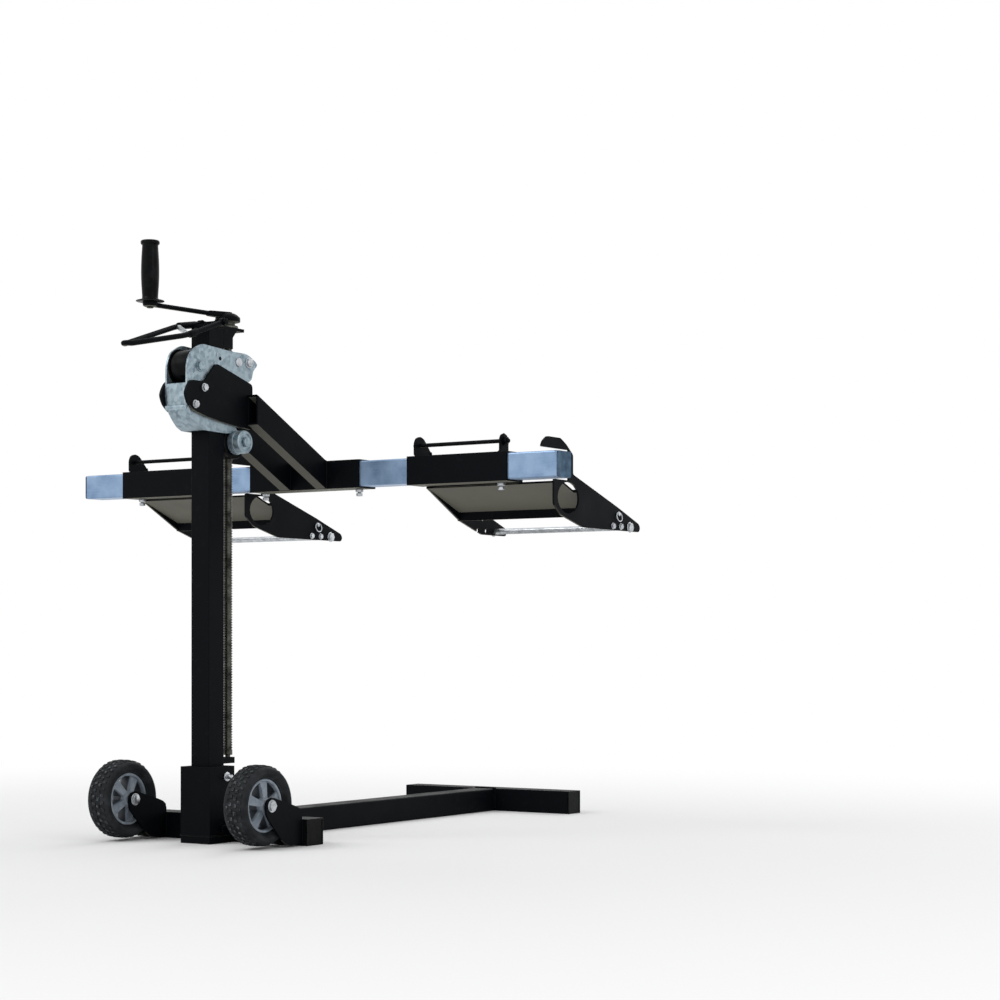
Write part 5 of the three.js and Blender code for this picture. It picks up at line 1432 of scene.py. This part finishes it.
for side in SIDES:
    tray_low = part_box(f"pan_tray_{side}")[0]
    low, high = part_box(f"pan_sleeve_{side}")
    rear, under = high.y - PAN_REAR_IN, low.z - TOE
    bead_set(f"weld_beads_pan_{side}", f"pan_tray_{side}", [
        [(tray_low.x + PAN_BEAD_FROM, rear, under), (high.x - PAN_BEAD_SHORT, rear, under)],
        upright(tray_low.x + WALL_IN, high.y - TOE, low.z + PAN_BEAD_SHORT, high.z - WALL_BEAD_TOP),
    ], PAN_BEAD)

# %% [markdown]
# Beside the upper roller sit two black nylon discs, put there as painted shade: they darken the gap between
# the roller and the carriage's plates. Each is a turned ring, cut straight along the mast's face. A small
# black plug closes a hole in the right plate.

# %% Shade discs and plug
DISC_IN, DISC_OUT, DISC_BORE = 0.0204, 0.0228, 0.0066
DISC_RADIUS, DISC_EDGE = 0.0352, 0.0007
MAST_CLEARANCE = 0.0008
PLUG_RADIUS, PLUG_Y, PLUG_Z = 0.0038, 0.0048, 0.9306
disc_y, disc_z = axis_of("upper_roller")[2:]
cut_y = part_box("mast_tube")[0].y - MAST_CLEARANCE


def shade_disc(outward):
    """A dark nylon disc on one side of the upper roller, a piece of painted shade, cut off level with the
    mast's rear face.
    """
    near, far = sorted((outward * DISC_IN, outward * DISC_OUT))
    rim = DISC_RADIUS - DISC_EDGE
    steps = [
        (DISC_BORE, near), (rim, near), (DISC_RADIUS, near + DISC_EDGE),
        (DISC_RADIUS, far - DISC_EDGE), (rim, far), (DISC_BORE, far),
    ]
    piece = turned(steps, (0, disc_y, disc_z), "X", ring=True)
    edit(piece)
    bpy.ops.mesh.select_all(action="SELECT")
    bpy.ops.mesh.bisect(plane_co=(0, cut_y, 0), plane_no=(0, 1, 0), use_fill=True, clear_outer=True)
    return close_up(piece)


# Both discs are painted shade beside the upper roller.
discs = dress(joined([shade_disc(-1), shade_disc(1)]), "shade_discs", "black_plastic", body_of["carriage_shell"])
plate_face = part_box("carriage_shell")[1].x
PLUG_STEPS = [(PLUG_RADIUS, -0.0012), (PLUG_RADIUS, 0.0004), (PLUG_RADIUS * 0.8, 0.0007)]
plug = turned(PLUG_STEPS, (plate_face, PLUG_Y, PLUG_Z), "X", ROUND_SMALL)
dress(plug, "carriage_plug", "black_plastic", body_of["carriage_shell"])
print("glide discs:", len(discs.data.polygons), "faces")

# %% [markdown]
# The carriage is folded from sheet, and its two halves meet on the rear web. The joint shows as a narrow lap
# across the web, just above the slope, and its upper edge catches the light.

# %% Lap on the carriage's web
LAP_HALF, LAP_THICK, LAP_EDGE = 0.0262, 0.0014, 0.00045
LAP_LOW, LAP_HIGH = 0.8250, 0.8332
LAP_TUCK_SHARE, LAP_FRONT_SHARE, LAP_NEAR_TOP = 0.6, 0.9, 0.0001
web_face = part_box("carriage_shell")[0].y
lap_middle = (0, web_face - LAP_THICK / 2, (LAP_LOW + LAP_HIGH) / 2)
lap = block(lap_middle, (2 * LAP_HALF, LAP_THICK, LAP_HIGH - LAP_LOW))
choose(lap, "FACE", looks("Z", -1))
bpy.ops.transform.translate(value=(0, LAP_THICK * LAP_TUCK_SHARE, 0))
choose(lap, "EDGE", lambda edge: middle(edge).y < web_face - LAP_THICK * LAP_FRONT_SHARE
       or middle(edge).z > LAP_HIGH - LAP_NEAR_TOP)
bpy.ops.mesh.bevel(offset=LAP_EDGE, segments=2, affect="EDGES")
close_up(lap)
dress(lap, "carriage_lap", "galvanised_sheet", body_of["carriage_shell"])
print("lap:", len(lap.data.polygons), "faces")

# %% [markdown]
# A steel plate closes each end of the crossbar, coloured dark blue as painted shade on the ends. Its face is
# inset and pushed in a little, as a pressed plate is.

# %% Crossbar end plates
END_THICK, END_GAP, END_LIP, END_SUNK, END_CORNER = 0.0016, 0.0001, 0.0035, 0.0006, 0.004
END_FROM_MIDDLE, END_SMALLER = 0.02, 0.001
END_SHADE_PALE, END_SHADE_DULL = (0.07, 0.13, 0.20), (0.035, 0.07, 0.115)
bar_low, bar_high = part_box("crossbar_tube")
bar_middle = (bar_low + bar_high) / 2


def end_plate(outward):
    """A pressed plate on one end of the crossbar, with rounded corners and a raised lip."""
    face_x = bar_high.x if outward > 0 else bar_low.x
    centre = Vector((face_x + outward * (END_THICK / 2 + END_GAP), bar_middle.y, bar_middle.z))
    wide, high = bar_high.y - bar_low.y - END_SMALLER, bar_high.z - bar_low.z - END_SMALLER
    piece = block(centre, (END_THICK, wide, high))
    choose(piece, "EDGE", lambda edge: abs(middle(edge).y - centre.y) > END_FROM_MIDDLE
           and abs(middle(edge).z - centre.z) > END_FROM_MIDDLE)
    bpy.ops.mesh.bevel(offset=END_CORNER, segments=4, affect="EDGES")
    choose(piece, "FACE", looks("X", outward))
    bpy.ops.mesh.inset(thickness=END_LIP, depth=-END_SUNK)
    return close_up(piece)


# The end plates' dark colour is painted shade.
painted_shade_plate = metal("bar_end_painted_shade", END_SHADE_PALE, END_SHADE_DULL, roughness=0.5, scale=50)
plates = joined([end_plate(-1), end_plate(1)])
dress(plates, "crossbar_end_plates", "zinc_tube", body_of["crossbar_tube"], finish=painted_shade_plate)
print("end plates:", len(plates.data.polygons), "faces")
